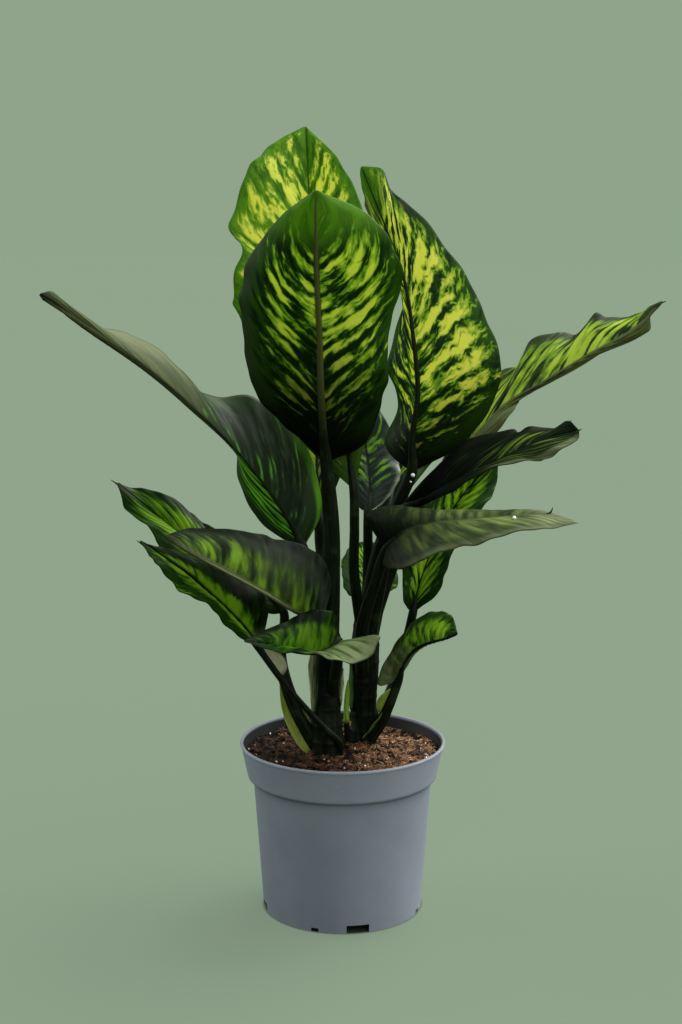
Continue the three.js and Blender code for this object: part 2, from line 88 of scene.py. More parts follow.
# A grid that is laid over a shape: place(u, v) gives each point, marks(u, v) what the material reads there.
def layGrid(name, columns, rows, place, marks=None):
    grid = {"x_subdivisions": columns, "y_subdivisions": rows, "size": 1}
    piece = addPrimitive(bpy.ops.mesh.primitive_grid_add, **grid)
    piece.name = name
    piece.data.name = name
    spots = [(point.co.x + 0.5, point.co.y + 0.5) for point in piece.data.vertices]
    if marks:
        kept = {key: piece.data.attributes.new(key, "FLOAT_VECTOR", "POINT") for key in marks(0.5, 0.5)}
        for index, (u, v) in enumerate(spots):
            for key, value in marks(u, v).items():
                kept[key].data[index].vector = value
    for point, (u, v) in zip(piece.data.vertices, spots):
        point.co = place(u, v)
    return piece


# smooth curve through the points, u from 0 to 1
def along(points, u):
    last = len(points) - 1
    spot = min(max(u, 0), 1) * last
    i = min(int(spot), last - 1)
    f = spot - i
    before = points[i - 1] if i > 0 else points[0] * 2 - points[1]
    after = points[i + 2] if i + 2 <= last else points[last] * 2 - points[last - 1]
    pull = (
        -f + 2 * f * f - f ** 3,
        2 - 5 * f * f + 3 * f ** 3,
        f + 4 * f * f - 3 * f ** 3,
        -f * f + f ** 3,
    )
    near = (before, points[i], points[i + 1], after)
    return sum((p * w for p, w in zip(near, pull)), Vector((0, 0, 0))) / 2


# straight runs from value to value, u from 0 to 1
def between(values, u):
    spot = min(max(u, 0), 1) * (len(values) - 1)
    i = min(int(spot), len(values) - 2)
    return values[i] + (values[i + 1] - values[i]) * (spot - i)


def softStep(low, high, value):
    f = min(max((value - low) / (high - low), 0), 1)
    return f * f * (3 - 2 * f)


# Frames that slide along a path without turning about it: centre, side and other side for each row.
def slidingFrames(path, rows, firstSide=Vector((1, 0, 0))):
    frames = []
    side = firstSide.copy()
    for row in range(rows + 1):
        u = row / rows
        ahead = along(path, min(u + 0.01, 1)) - along(path, max(u - 0.01, 0))
        ahead.normalize()
        side = (side - ahead * side.dot(ahead)).normalized()
        frames.append((along(path, u), side.copy(), ahead.cross(side)))
    return frames


# A closed tube round a path. radiusAt(v, turn) gives its radius; both ends are rounded off.
def makeTube(name, path, radiusAt, sides, rows, firstSide=Vector((1, 0, 0)), length=1.0):
    frames = slidingFrames(path, rows, firstSide)

    def place(u, v):
        row = round(v * rows)
        centre, side, other = frames[row]
        turn = 2 * math.pi * u
        ends = min(v, 1 - v) * rows / 2.5
        rounding = math.sqrt(max(1 - (1 - min(ends, 1)) ** 2, 0))
        reach = radiusAt(v, turn) * rounding
        return centre + (side * math.cos(turn) + other * math.sin(turn)) * reach

    def marks(u, v):
        return {"stalkPlace": (u, v, v * length)}

    tube = layGrid(name, sides, rows, place, marks)
    inEditMode(tube, mergeSeam, facesOut)
    selectOnly(tube)
    bpy.ops.object.shade_smooth()
    return tube


# settings are the node's own, inputs are numbers, colours or sockets to link
def addNode(tree, kind, inputs=None, **settings):
    made = tree.nodes.new("ShaderNode" + kind)
    for key, value in settings.items():
        setattr(made, key, value)
    for key, value in (inputs or {}).items():
        if isinstance(value, bpy.types.NodeSocket):
            tree.links.new(value, made.inputs[key])
        else:
            made.inputs[key].default_value = value
    return made


def calc(tree, operation, first, second=0.0, third=0.0):
    return addNode(tree, "Math", {0: first, 1: second, 2: third}, operation=operation).outputs[0]


def ramp(tree, value, low, high, lowest=0.0, highest=1.0):
    ends = {"Value": value, "From Min": low, "From Max": high, "To Min": lowest, "To Max": highest}
    return addNode(tree, "MapRange", ends, interpolation_type="SMOOTHSTEP").outputs["Result"]


def mixColour(tree, amount, first, second, blend="MIX"):
    made = addNode(tree, "Mix", {0: amount, 6: first, 7: second}, data_type="RGBA", blend_type=blend)
    return made.outputs[2]


def grain(tree, place, scale, detail=2.0, rough=0.5):
    inputs = {"Vector": place, "Scale": scale, "Detail": detail, "Roughness": rough}
    return addNode(tree, "TexNoise", inputs).outputs["Fac"]


def combine(tree, x, y, z):
    return addNode(tree, "CombineXYZ", {"X": x, "Y": y, "Z": z}).outputs[0]


def newMaterial(name):
    made = bpy.data.materials.new(name)
    made.use_nodes = True
    made.node_tree.nodes.clear()
    return made, made.node_tree


def newGroup(name, inputs, outputs):
    tree = bpy.data.node_groups.new(name, "ShaderNodeTree")
    for label, kind, value in inputs:
        socket = tree.interface.new_socket(label, in_out="INPUT", socket_type=kind)
        if value is not None:
            socket.default_value = value
    for label, kind in outputs:
        tree.interface.new_socket(label, in_out="OUTPUT", socket_type=kind)
    return tree, tree.nodes.new("NodeGroupInput")


def endGroup(tree, results):
    final = tree.nodes.new("NodeGroupOutput")
    for label, socket in results.items():
        tree.links.new(socket, final.inputs[label])


def useGroup(tree, group, inputs):
    return addNode(tree, "Group", inputs, node_tree=group)


def showShader(tree, shader):
    out = addNode(tree, "OutputMaterial")
    tree.links.new(shader, out.inputs["Surface"])


floatSocket = "NodeSocketFloat"
vectorSocket = "NodeSocketVector"


def pickSide(tree, onRight, left, right):
    return addNode(tree, "MapRange", {"Value": onRight, "To Min": left, "To Max": right}).outputs["Result"]


# noise drawn out along the side veins
def streakGrain(tree, phase, outward, side, acrossScale, alongScale, detail):
    x = calc(tree, "MULTIPLY", phase, acrossScale)
    y = calc(tree, "MULTIPLY", outward, alongScale)
    return grain(tree, combine(tree, x, y, side), 1.0, detail, 0.58)


# Lime streaks that follow the side veins of a blade. Place is (v across, t along, number of the side vein).
# Level is above 0 where a streak is, Inner says how far a spot lies inside the green margin.
def makeLeafMarks():
    tree, start = newGroup(
        "leafMarks",
        [
            ("Place", vectorSocket, None),
            ("Left", floatSocket, 0.7),
            ("Right", floatSocket, 0.7),
            ("Left margin", floatSocket, 0.8),
            ("Right margin", floatSocket, 0.8),
            ("Begin", floatSocket, 0.1),
            ("End", floatSocket, 0.9),
            ("Streak", floatSocket, 2.2),
            ("Lined", floatSocket, 0.4),
            ("Fineness", floatSocket, 1.0),
            ("Seed", floatSocket, 0.0),
        ],
        [("Level", floatSocket), ("Inner", floatSocket), ("Veins", floatSocket), ("Tone", floatSocket),
         ("Height", floatSocket), ("Rim", floatSocket)],
    )
    get = start.outputs
    parts = addNode(tree, "SeparateXYZ", {0: get["Place"]}).outputs
    across, length, phase = parts[0], parts[1], parts[2]
    s = calc(tree, "ABSOLUTE", across)
    onRight = calc(tree, "GREATER_THAN", across, 0.0)
    amount = pickSide(tree, onRight, get["Left"], get["Right"])
    margin = pickSide(tree, onRight, get["Left margin"], get["Right margin"])
    side = calc(tree, "MULTIPLY_ADD", onRight, 7.3, get["Seed"])
    outward = calc(tree, "MULTIPLY", calc(tree, "MULTIPLY", s, get["Streak"]), get["Fineness"])
    swayed = streakGrain(tree, phase, outward, calc(tree, "ADD", side, 11.0), 0.9, 2.2, 2.0)
    unsteady = calc(tree, "MULTIPLY_ADD", calc(tree, "SUBTRACT", swayed, 0.5), 0.8, phase)
    unsteady = calc(tree, "MULTIPLY", unsteady, get["Fineness"])
    patches = streakGrain(tree, unsteady, outward, side, 0.6, 1.1, 2.0)
    streaks = streakGrain(tree, unsteady, outward, side, 1.8, 1.5, 1.5)
    jagged = streakGrain(tree, unsteady, outward, side, 4.6, 5.0, 2.0)
    # inside the margin, between base and tip
    loose = calc(tree, "MULTIPLY", calc(tree, "SUBTRACT", patches, 0.5), 0.6)
    loose = calc(tree, "MULTIPLY_ADD", calc(tree, "SUBTRACT", streaks, 0.5), 0.8, loose)
    reach = calc(tree, "ADD", s, loose)
    fadeFrom = calc(tree, "SUBTRACT", margin, 0.34)
    fadeTo = calc(tree, "ADD", margin, 0.06)
    fade = ramp(tree, reach, fadeFrom, fadeTo, 1.0, 0.0)
    swept = calc(tree, "MULTIPLY_ADD", s, -0.12, length)
    bent = calc(tree, "ADD", swept, calc(tree, "MULTIPLY", loose, 0.3))
    openFrom = calc(tree, "SUBTRACT", get["Begin"], 0.06)
    openTo = calc(tree, "ADD", get["Begin"], 0.14)
    opening = ramp(tree, bent, openFrom, openTo)
    closing = ramp(tree, bent, calc(tree, "SUBTRACT", get["End"], 0.16), get["End"], 1.0, 0.0)
    inner = calc(tree, "MULTIPLY", fade, calc(tree, "MULTIPLY", opening, closing))
    # the darker line of each side vein
    share = calc(tree, "FRACT", phase)
    near = calc(tree, "MULTIPLY", calc(tree, "MINIMUM", share, calc(tree, "SUBTRACT", 1.0, share)), 2.0)
    veins = ramp(tree, near, 0.0, 0.7, 1.0, 0.0)
    veins = calc(tree, "MULTIPLY", veins, ramp(tree, s, 0.6, 1.0, 1.0, 0.3))
    level = calc(tree, "MULTIPLY_ADD", calc(tree, "SUBTRACT", patches, 0.5), 1.0, -0.36)
    level = calc(tree, "MULTIPLY_ADD", calc(tree, "SUBTRACT", streaks, 0.5), 2.5, level)
    level = calc(tree, "MULTIPLY_ADD", calc(tree, "SUBTRACT", jagged, 0.5), 1.1, level)
    lined = calc(tree, "MULTIPLY", veins, get["Lined"])
    level = calc(tree, "SUBTRACT", level, lined)
    level = calc(tree, "MULTIPLY_ADD", calc(tree, "MULTIPLY", inner, amount), 0.95, level)
    wave = calc(tree, "SINE", calc(tree, "MULTIPLY", phase, 18.85))
    tone = streakGrain(tree, phase, outward, calc(tree, "ADD", side, 3.0), 0.8, 1.4, 3.0)
    height = calc(tree, "MULTIPLY_ADD", wave, 0.1, calc(tree, "MULTIPLY", veins, -0.8))
    height = calc(tree, "MULTIPLY_ADD", jagged, 0.6, height)
    rim = ramp(tree, s, 0.955, 1.0)
    results = {"Level": level, "Inner": inner, "Veins": veins, "Tone": tone, "Height": height, "Rim": rim}
    endGroup(tree, results)
    return tree


# Broad mottling and fine specks, shared by pot, soil, stalks and sap.
def makeMottle():
    tree, start = newGroup(
        "mottle",
        [("Place", vectorSocket, None), ("Scale", floatSocket, 40.0), ("Speck size", floatSocket, 400.0)],
        [("Clouds", floatSocket), ("Specks", floatSocket), ("Height", floatSocket)],
    )
    get = start.outputs
    clouds = grain(tree, get["Place"], get["Scale"], 4.0, 0.6)
    cells = addNode(tree, "TexVoronoi", {"Vector": get["Place"], "Scale": get["Speck size"]})
    specks = calc(tree, "SUBTRACT", 1.0, ramp(tree, cells.outputs["Distance"], 0.08, 0.22))
    height = grain(tree, get["Place"], calc(tree, "MULTIPLY", get["Speck size"], 0.6), 3.0, 0.6)
    endGroup(tree, {"Clouds": clouds, "Specks": specks, "Height": height})
    return tree


leafMarks = makeLeafMarks()
mottle = makeMottle()


def objectPlace(tree):
    return addNode(tree, "TexCoord").outputs["Object"]


def mottled(tree, scale, speckSize):
    inputs = {"Place": objectPlace(tree), "Scale": scale, "Speck size": speckSize}
    return useGroup(tree, mottle, inputs).outputs


def attributePlace(tree, name):
    return addNode(tree, "Attribute", attribute_name=name).outputs["Vector"]


def principled(tree, colour, roughness, gloss, height=None, strength=0.3, distance=0.001):
    shader = addNode(tree, "BsdfPrincipled", {"Base Color": colour, "Roughness": roughness})
    shader.inputs["Specular IOR Level"].default_value = gloss
    if height is not None:
        bump = addNode(tree, "Bump", {"Strength": strength, "Distance": distance, "Height": height})
        tree.links.new(bump.outputs[0], shader.inputs["Normal"])
    return shader


# leaves and sheaths let a share of the light through
def showThin(tree, shader, colour, share):
    glow = addNode(tree, "BsdfTranslucent", {"Color": colour})
    mixed = addNode(tree, "MixShader", {0: share, 1: shader.outputs[0], 2: glow.outputs[0]})
    showShader(tree, mixed.outputs[0])


print("stage: node groups are ready")


potShape = {
    "sides": 160,
    "height": 177 * mm,
    "rimRadius": 105 * mm,
    "collarBottom": 140 * mm,
    "collarFootRadius": 97.4 * mm,
    "bodyTopRadius": 91.6 * mm,
    "footRadius": 81.7 * mm,
    "wall": 1.8 * mm,
    "floorUnder": 6 * mm,
    "floorTop": 8 * mm,
    "padRadius": 18 * mm,
    "notch": {"width": 23 * mm, "height": 8.6 * mm, "angle": -79, "depth": 20 * mm},
    "slit": {"width": 8 * mm, "height": 4.2 * mm, "angle": -110, "depth": 8 * mm},
    "colour": (0.292, 0.329, 0.386, 1),
    "darker": (0.255, 0.289, 0.342, 1),
    # painted shade: the body below the collar is painted darker than the collar
    "bodyPaintedShade": 0.75,
    "collarPaintedShade": 0.9,
    "dust": (0.62, 0.64, 0.67, 1),
    # painted shade: the near black of the inner wall above the soil
    "inside": (0.013, 0.016, 0.015, 1),
    # painted shade: the top of the rim is painted darker
    "paintedRimTopShade": (0.150, 0.163, 0.185, 1),
}


def potProfile():
    p = potShape
    rimInside = p["rimRadius"] - 3.2 * mm
    return [
        (p["padRadius"], 0),
        (p["padRadius"] + 3 * mm, p["floorUnder"]),
        (p["footRadius"] - p["wall"] - 0.2 * mm, p["floorUnder"]),
        (p["footRadius"] - p["wall"], 0),
        (p["footRadius"], 0),
        (p["bodyTopRadius"] - 0.2 * mm, p["collarBottom"] - 3 * mm),
        (p["bodyTopRadius"] + 0.6 * mm, p["collarBottom"] - 1 * mm),
        (p["bodyTopRadius"] + 2.4 * mm, p["collarBottom"]),
        (p["collarFootRadius"] - 1.4 * mm, p["collarBottom"] + 0.5 * mm),
        (p["collarFootRadius"] - 0.2 * mm, p["collarBottom"] + 1.8 * mm),
        (p["collarFootRadius"] + 0.4 * mm, p["collarBottom"] + 4 * mm),
        (p["rimRadius"] - 1 * mm, p["height"] - 3.4 * mm),
        (p["rimRadius"], p["height"] - 2.4 * mm),
        (p["rimRadius"], p["height"] - 0.9 * mm),
        (p["rimRadius"] - 0.9 * mm, p["height"]),
        (p["rimRadius"] - 2.2 * mm, p["height"]),
        (rimInside, p["height"] - 1.2 * mm),
        (rimInside - 0.2 * mm, p["height"] - 4 * mm),
        (p["collarFootRadius"] - p["wall"], p["collarBottom"] + 3.4 * mm),
        (p["bodyTopRadius"] - p["wall"], p["collarBottom"] + 1.8 * mm),
        (p["footRadius"] - p["wall"] + 0.5 * mm, p["floorTop"]),
        (p["padRadius"] + 4.6 * mm, p["floorTop"]),
        (p["padRadius"] + 1.6 * mm, 2 * mm),
    ]


# The circle of the pad is drawn out, ring by ring, along the profile.
def drawOut(profile):
    radius, height = profile[0]
    for nextRadius, nextHeight in profile[1:]:
        move = {"value": (0, 0, nextHeight - height)}
        bpy.ops.mesh.extrude_region_move(TRANSFORM_OT_translate=move)
        share = nextRadius / radius
        bpy.ops.transform.resize(value=(share, share, 1), center_override=(0, 0, nextHeight))
        radius, height = nextRadius, nextHeight


def cutFromPot(pot, cut, turn):
    deep = cut["depth"]
    reach = potShape["footRadius"] + 4 * mm - deep / 2
    angle = math.radians(cut["angle"] + turn)
    cutter = addPrimitive(
        bpy.ops.mesh.primitive_cube_add,
        size=1,
        location=(reach * math.cos(angle), reach * math.sin(angle), cut["height"] / 2 - 5 * mm),
        rotation=(0, 0, angle),
        scale=(deep, cut["width"], cut["height"] + 10 * mm),
    )
    useModifier(pot, "BOOLEAN", operation="DIFFERENCE", solver="EXACT", object=cutter)
    bpy.data.objects.remove(cutter)


def makePot():
    profile = potProfile()
    circle = {"vertices": potShape["sides"], "radius": profile[0][0], "fill_type": "NOTHING"}
    pot = addPrimitive(bpy.ops.mesh.primitive_circle_add, **circle)
    pot.name = "pot_smooth"
    inEditMode(
        pot,
        lambda: drawOut(profile),
        bpy.ops.mesh.edge_face_add,
        lambda: bpy.ops.mesh.select_all(action="DESELECT"),
    )
    for edge in pot.data.edges:
        ends = [pot.data.vertices[i].co for i in edge.vertices]
        atPad = all(abs(p.z) < 1e-6 and p.xy.length < potShape["padRadius"] + 1e-5 for p in ends)
        edge.select = atPad
    selectOnly(pot)
    bpy.ops.object.mode_set(mode="EDIT")
    bpy.ops.mesh.select_mode(type="EDGE")
    bpy.ops.mesh.edge_face_add()
    bpy.ops.mesh.select_all(action="SELECT")
    facesOut()
    bpy.ops.object.mode_set(mode="OBJECT")
    for turn in (0, 90, 180, 270):
        cutFromPot(pot, potShape["notch"], turn)
        cutFromPot(pot, potShape["slit"], turn)
    sharpest = math.radians(50)
    useModifier(pot, "BEVEL", width=0.45 * mm, segments=2, limit_method="ANGLE", angle_limit=sharpest)
    selectOnly(pot)
    bpy.ops.object.shade_smooth_by_angle(angle=math.radians(40))
    useModifier(pot, "WEIGHTED_NORMAL", keep_sharp=True)
    return pot


def potMaterial():
    top, collar, foot = potShape["height"], potShape["collarBottom"], potShape["collarFootRadius"]
    made, tree = newMaterial("potPlastic")
    spots = mottled(tree, 14.0, 260.0)
    wear = mottled(tree, 60.0, 90.0)
    clouds = ramp(tree, spots["Clouds"], 0.3, 0.7)
    colour = mixColour(tree, clouds, potShape["darker"], potShape["colour"])
    rare = calc(tree, "MULTIPLY", wear["Specks"], ramp(tree, wear["Clouds"], 0.56, 0.66))
    colour = mixColour(tree, calc(tree, "MULTIPLY", rare, 0.12), colour, potShape["dust"])
    # painted shade: the body is painted darker than the collar, and the inner wall above the soil near
    # black
    x, y, z = addNode(tree, "SeparateXYZ", {0: objectPlace(tree)}).outputs
    shade = ramp(tree, z, collar - 4 * mm, collar + 6 * mm, potShape["bodyPaintedShade"], potShape["collarPaintedShade"])
    colour = mixColour(tree, 1.0, colour, shade, "MULTIPLY")
    # painted shade: the inner wall between collar and rim top is painted near black
    radius = calc(tree, "SQRT", calc(tree, "MULTIPLY_ADD", x, x, calc(tree, "MULTIPLY", y, y)))
    rise = (potShape["rimRadius"] - foot) / (top - collar)
    outside = calc(tree, "MULTIPLY_ADD", z, rise, foot - collar * rise)
    depth = calc(tree, "SUBTRACT", outside, radius)
    inner = ramp(tree, depth, 1.2 * mm, 1.7 * mm)
    inner = calc(tree, "MULTIPLY", inner, ramp(tree, z, top - 0.5 * mm, top - 3.5 * mm))
    inner = calc(tree, "MULTIPLY", inner, ramp(tree, z, collar + 3 * mm, collar + 7 * mm))
    colour = mixColour(tree, inner, colour, potShape["inside"])
    # painted shade: the top of the rim is painted darker
    colour = mixColour(tree, ramp(tree, z, top - 1.2 * mm, top - 0.2 * mm), colour, potShape["paintedRimTopShade"])
    roughness = ramp(tree, wear["Clouds"], 0.2, 0.8, 0.46, 0.6)
    shader = principled(tree, colour, roughness, 0.2, spots["Height"], 0.12, 0.0004)
    showShader(tree, shader.outputs[0])
    return made


pot = makePot()
pot.data.materials.append(potMaterial())
finishPiece(pot, "pot", "pot")
print("stage: pot, with", len(pot.data.polygons), "faces")


# in mm: the bed rises to a mound at the stems and sinks to a hollow at the back right. under lists radius
# and height of the corners of its underside, topShare and underShare are the shares of the rows.
soilShape = {
    "level": 166,
    "mound": {"at": (2, -8), "spread": 42, "height": 8},
    "hollow": {"at": (52, 52), "spread": 26, "height": -8},
    "lumps": {"size": 9, "height": 3.4},
    "crumbs": {"size": 2.4, "height": 2.0},
    "edge": 165,
    "reach": 99.7,
    "under": [(99.2, 160), (95.2, 144.2), (89.4, 142), (80, 9), (23, 8.6), (0, 3)],
    "rows": 150,
    "topShare": 0.9,
    "underShare": 0.1,
    "sides": 260,
    "dark": (0.004, 0.002, 0.0015, 1),
    "brown": (0.034, 0.014, 0.007, 1),
    "tan": (0.16, 0.086, 0.042, 1),
}


def hill(shape, x, y):
    away = (x - shape["at"][0]) ** 2 + (y - shape["at"][1]) ** 2
    return shape["height"] * math.exp(-away / shape["spread"] ** 2)


def soilHeight(x, y):
    waves = 1.2 * math.sin(x / 11 + 1) * math.cos(y / 13)
    return soilShape["level"] + hill(soilShape["mound"], x, y) + hill(soilShape["hollow"], x, y) + waves


def crumbly(x, y):
    spot = Vector((x, y, 3.1))
    lumps, crumbs = soilShape["lumps"], soilShape["crumbs"]
    rough = noise.fractal(spot / lumps["size"], 1.0, 2.1, 4) * lumps["height"]
    fine = noise.fractal(spot / crumbs["size"], 0.9, 2.0, 3) * crumbs["height"]
    return soilHeight(x, y) + rough + fine


def soilPlace(u, v):
    turn = 2 * math.pi * u
    reach = soilShape["reach"]
    share = v / soilShape["topShare"]
    if share <= 1:
        r = reach * share
        x, y = r * math.cos(turn), r * math.sin(turn)
        nearEdge = softStep(0.93, 1, share)
        z = crumbly(x, y) * (1 - nearEdge) + (soilShape["edge"] + 0.8 * math.sin(turn * 5)) * nearEdge
        return Vector((x, y, z)) * mm
    under = soilShape["under"]
    corner = int((v - soilShape["topShare"]) / soilShape["underShare"] * len(under))
    r, z = under[min(corner, len(under) - 1)]
    return Vector((r * math.cos(turn), r * math.sin(turn), z)) * mm


def makeSoil():
    soil = layGrid("soil_bed", soilShape["sides"], soilShape["rows"], soilPlace)
    inEditMode(soil, mergeSeam, facesOut)
    selectOnly(soil)
    bpy.ops.object.shade_smooth()
    return soil


# Small bits that lie on the soil: copies of a few shapes, each with its own turn and size.
def scatterBits(name, bits):
    rng = random.Random(bits["seed"])
    shapes = bits["shapes"]
    copies = []
    for index in range(bits["count"]):
        r = bits["reach"] * math.sqrt(rng.random())
        turn = rng.uniform(0, 2 * math.pi)
        x, y = r * math.cos(turn), r * math.sin(turn)
        source = shapes[index % len(shapes)]
        copy = source.copy()
        copy.data = source.data.copy()
        bpy.context.collection.objects.link(copy)
        big = rng.uniform(*bits["size"])
        flat = rng.uniform(*bits["squash"])
        spin = Matrix.Rotation(rng.uniform(0, 6.28), 4, "Z")
        tilt = Matrix.Rotation(rng.gauss(0, 0.35), 4, "X") @ Matrix.Rotation(rng.gauss(0, 0.35), 4, "Y")
        grow = Matrix.Diagonal((big, big * rng.uniform(0.5, 1), big * flat, 1))
        z = crumbly(x, y) + big * flat * (0.5 - bits["sink"])
        move = Matrix.Translation(Vector((x, y, z)) * mm)
        copy.data.transform(move @ spin @ tilt @ Matrix.Scale(mm, 4) @ grow)
        copies.append(copy)
    selectOnly(*copies)
    bpy.ops.object.join()
    joined = bpy.context.object
    joined.name = name
    joined.data.name = name
    for source in shapes:
        bpy.data.objects.remove(source)
    return joined


def chipShape(seed):
    rng = random.Random(seed)
    chip = addPrimitive(bpy.ops.mesh.primitive_ico_sphere_add, subdivisions=1, radius=0.5)
    for point in chip.data.vertices:
        point.co *= rng.uniform(0.75, 1.25)
    return chip


def fibreShape(seed):
    rng = random.Random(seed)
    bend = rng.uniform(-0.5, 0.5)
    sway = rng.uniform(-0.3, 0.3)

    def place(u, v):
        turn = 2 * math.pi * u
        lift = 0.25 * math.sin(math.pi * v)
        centre = Vector((v - 0.5, bend * (v - 0.5) ** 2 + sway * math.sin(6 * v) * 0.2, lift))
        thick = 0.028 * (1 - 0.5 * v)
        return centre + Vector((0, math.cos(turn), math.sin(turn))) * thick

    return layGrid("fibre", 3, 6, place)


# painted light and shade: the soil is painted darker at the left and paler towards the right back
def soilMaterial(name, dark, brown, tan, tanFrom, paintedShadeTint=(0.52, 0.46, 0.38, 1), paintedPaleLight=(3.7, 4.2, 3.9, 1)):
    made, tree = newMaterial(name)
    near = mottled(tree, 95.0, 420.0)
    fine = mottled(tree, 260.0, 900.0)
    colour = mixColour(tree, ramp(tree, near["Clouds"], 0.36, 0.62), dark, brown)
    colour = mixColour(tree, ramp(tree, fine["Clouds"], tanFrom, tanFrom + 0.16), colour, tan)
    x, y = addNode(tree, "SeparateXYZ", {0: objectPlace(tree)}).outputs[0:2]
    # painted light and shade, from the left towards the right back
    towardPaintedLight = calc(tree, "MULTIPLY_ADD", near["Clouds"], 0.08, calc(tree, "MULTIPLY_ADD", y, 0.5, x))
    paintedLightTint = mixColour(tree, ramp(tree, towardPaintedLight, -0.04, 0.12), paintedShadeTint, paintedPaleLight)
    colour = mixColour(tree, 1.0, colour, paintedLightTint, "MULTIPLY")
    # painted shade: dark pits among the crumbs, placed by noise
    paintedPitShade = ramp(tree, near["Clouds"], 0.42, 0.54, 0.35, 1.15)
    colour = mixColour(tree, 1.0, colour, paintedPitShade, "MULTIPLY")
    height = calc(tree, "ADD", near["Height"], fine["Clouds"])
    roughness = ramp(tree, fine["Clouds"], 0.3, 0.7, 0.7, 0.95)
    shader = principled(tree, colour, roughness, 0.1, height, 1.0, 0.002)
    showShader(tree, shader.outputs[0])
    return made


soil = makeSoil()
soilLook = soilShape["dark"], soilShape["brown"], soilShape["tan"]
soil.data.materials.append(soilMaterial("soilBed", *soilLook, 0.56))
finishPiece(soil, "soil", "soil")

# what lies on the soil: how many, how large in mm, how flat, how deep it sinks in and its colours
soilBits = {
    "soil_chips": {
        "shapes": [chipShape(k) for k in range(6)], "count": 760, "seed": 21, "size": (1.4, 4.6),
        "squash": (0.3, 0.7), "sink": 0.2, "reach": 97,
        "look": [(0.010, 0.005, 0.003, 1), (0.066, 0.030, 0.016, 1), (0.22, 0.130, 0.078, 1), 0.52],
    },
    "soil_chunks": {
        "shapes": [chipShape(k + 20) for k in range(6)], "count": 240, "seed": 23, "size": (3.5, 7.5),
        "squash": (0.3, 0.6), "sink": 0.2, "reach": 97,
        "look": [(0.006, 0.003, 0.002, 1), (0.040, 0.019, 0.011, 1), (0.15, 0.085, 0.050, 1), 0.52],
    },
    "soil_fibres": {
        "shapes": [fibreShape(k) for k in range(6)], "count": 420, "seed": 31, "size": (7, 17),
        "squash": (0.2, 0.5), "sink": 0.25, "reach": 92,
        "look": [(0.05, 0.030, 0.017, 1), (0.14, 0.090, 0.050, 1), (0.30, 0.22, 0.14, 1), 0.52,
                 (0.60, 0.52, 0.44, 1), (2.1, 2.3, 2.2, 1)],
    },
    "perlite": {
        "shapes": [chipShape(k + 50) for k in range(4)], "count": 60, "seed": 41, "size": (1.0, 2.8),
        "squash": (0.7, 1.0), "sink": 0.1, "reach": 97,
        "look": [(0.50, 0.47, 0.43, 1), (0.66, 0.64, 0.60, 1), (0.8, 0.79, 0.76, 1), 0.4,
                 (1.2, 1.2, 1.2, 1), (1.4, 1.4, 1.4, 1)],
    },
}

for name, bits in soilBits.items():
    scattered = scatterBits(name, bits)
    scattered.data.materials.append(soilMaterial(name + "Skin", *bits["look"]))
    finishPiece(scattered, "soil")
print("stage: soil, with its chips, fibres and perlite")


canes = {
    "left": {
        "node": "cane_left",
        "path": [
            (-13, -18, 120), (-14, -18, 165), (-15, -18, 190), (-16, -18, 215),
            (-16, -18, 238), (-16, -19, 262), (-15, -20, 284), (-14, -21, 300),
        ],
        "radius": [17, 18.5, 16, 14.8, 16, 17, 14.5, 11],
    },
    "right": {
        "node": "cane_right",
        "path": [
            (20, 14, 120), (21, 14, 165), (22, 14, 192), (22, 14, 218),
            (23, 13, 244), (23, 13, 270), (24, 13, 298), (24, 13, 325),
        ],
        "radius": [14, 15, 14, 14, 15, 15.6, 13, 9.5],
    },
}

shootShape = {
    "path": [(5, -2, 140), (5, -2, 180), (4, -1, 205), (5, 0, 226), (6, 0, 241)],
    "radius": [3.6, 3.6, 3.4, 2.6, 0.6],
}

stalkLook = {
    "dark": (0.0015, 0.003, 0.001, 1),
    "green": (0.006, 0.014, 0.003, 1),
    "pale": (0.035, 0.065, 0.012, 1),
}


def toMetres(points):
    return [Vector(point) * mm for point in points]


# ribs is the colour of the midrib, which begins at ribsFrom, and ribTip that of its last part;
# below footTo the skin is dark
def stalkMaterial(name, colours, mottling, bands, ribs=None, ribTip=None, ribsFrom=1.0, footTo=0.0):
    made, tree = newMaterial(name)
    place = attributePlace(tree, "stalkPlace")
    parts = addNode(tree, "SeparateXYZ", {0: place}).outputs
    turn = calc(tree, "MULTIPLY", parts[0], 2 * math.pi)
    rise = calc(tree, "MULTIPLY", parts[2], 9.0)
    ring = combine(tree, calc(tree, "COSINE", turn), calc(tree, "SINE", turn), rise)
    lines = grain(tree, ring, 6.0, 3.0, 0.6)
    spots = mottled(tree, bands, 300.0)
    colour = mixColour(tree, ramp(tree, lines, 0.35, 0.7), colours["dark"], colours["green"])
    patch = calc(tree, "MULTIPLY", ramp(tree, spots["Clouds"], 0.54, 0.68), mottling)
    colour = mixColour(tree, patch, colour, colours["pale"])
    if ribs:
        colour = mixColour(tree, ramp(tree, parts[1], ribsFrom + 0.06, ribsFrom + 0.3), colour, ribs)
    if ribTip:
        colour = mixColour(tree, ramp(tree, parts[1], 0.6, 0.72), colour, ribTip)
        colour = mixColour(tree, ramp(tree, parts[1], 0.94, 0.98), colour, colours["dark"])
    if footTo:
        foot = ramp(tree, parts[1], footTo - 0.08, footTo, 1.0, 0.0)
        colour = mixColour(tree, foot, colour, stalkLook["dark"])
    height = calc(tree, "ADD", lines, calc(tree, "MULTIPLY", spots["Height"], 0.3))
    roughness = ramp(tree, spots["Clouds"], 0.3, 0.7, 0.4, 0.55)
    shader = principled(tree, colour, roughness, 0.1, height, 0.35, 0.0008)
    showShader(tree, shader.outputs[0])
    return made


# the old leaf scars stand out as rings, at these places along a cane
caneScars = {"first": 0.14, "apart": 0.1, "count": 9, "width": 0.012, "height": 0.55}


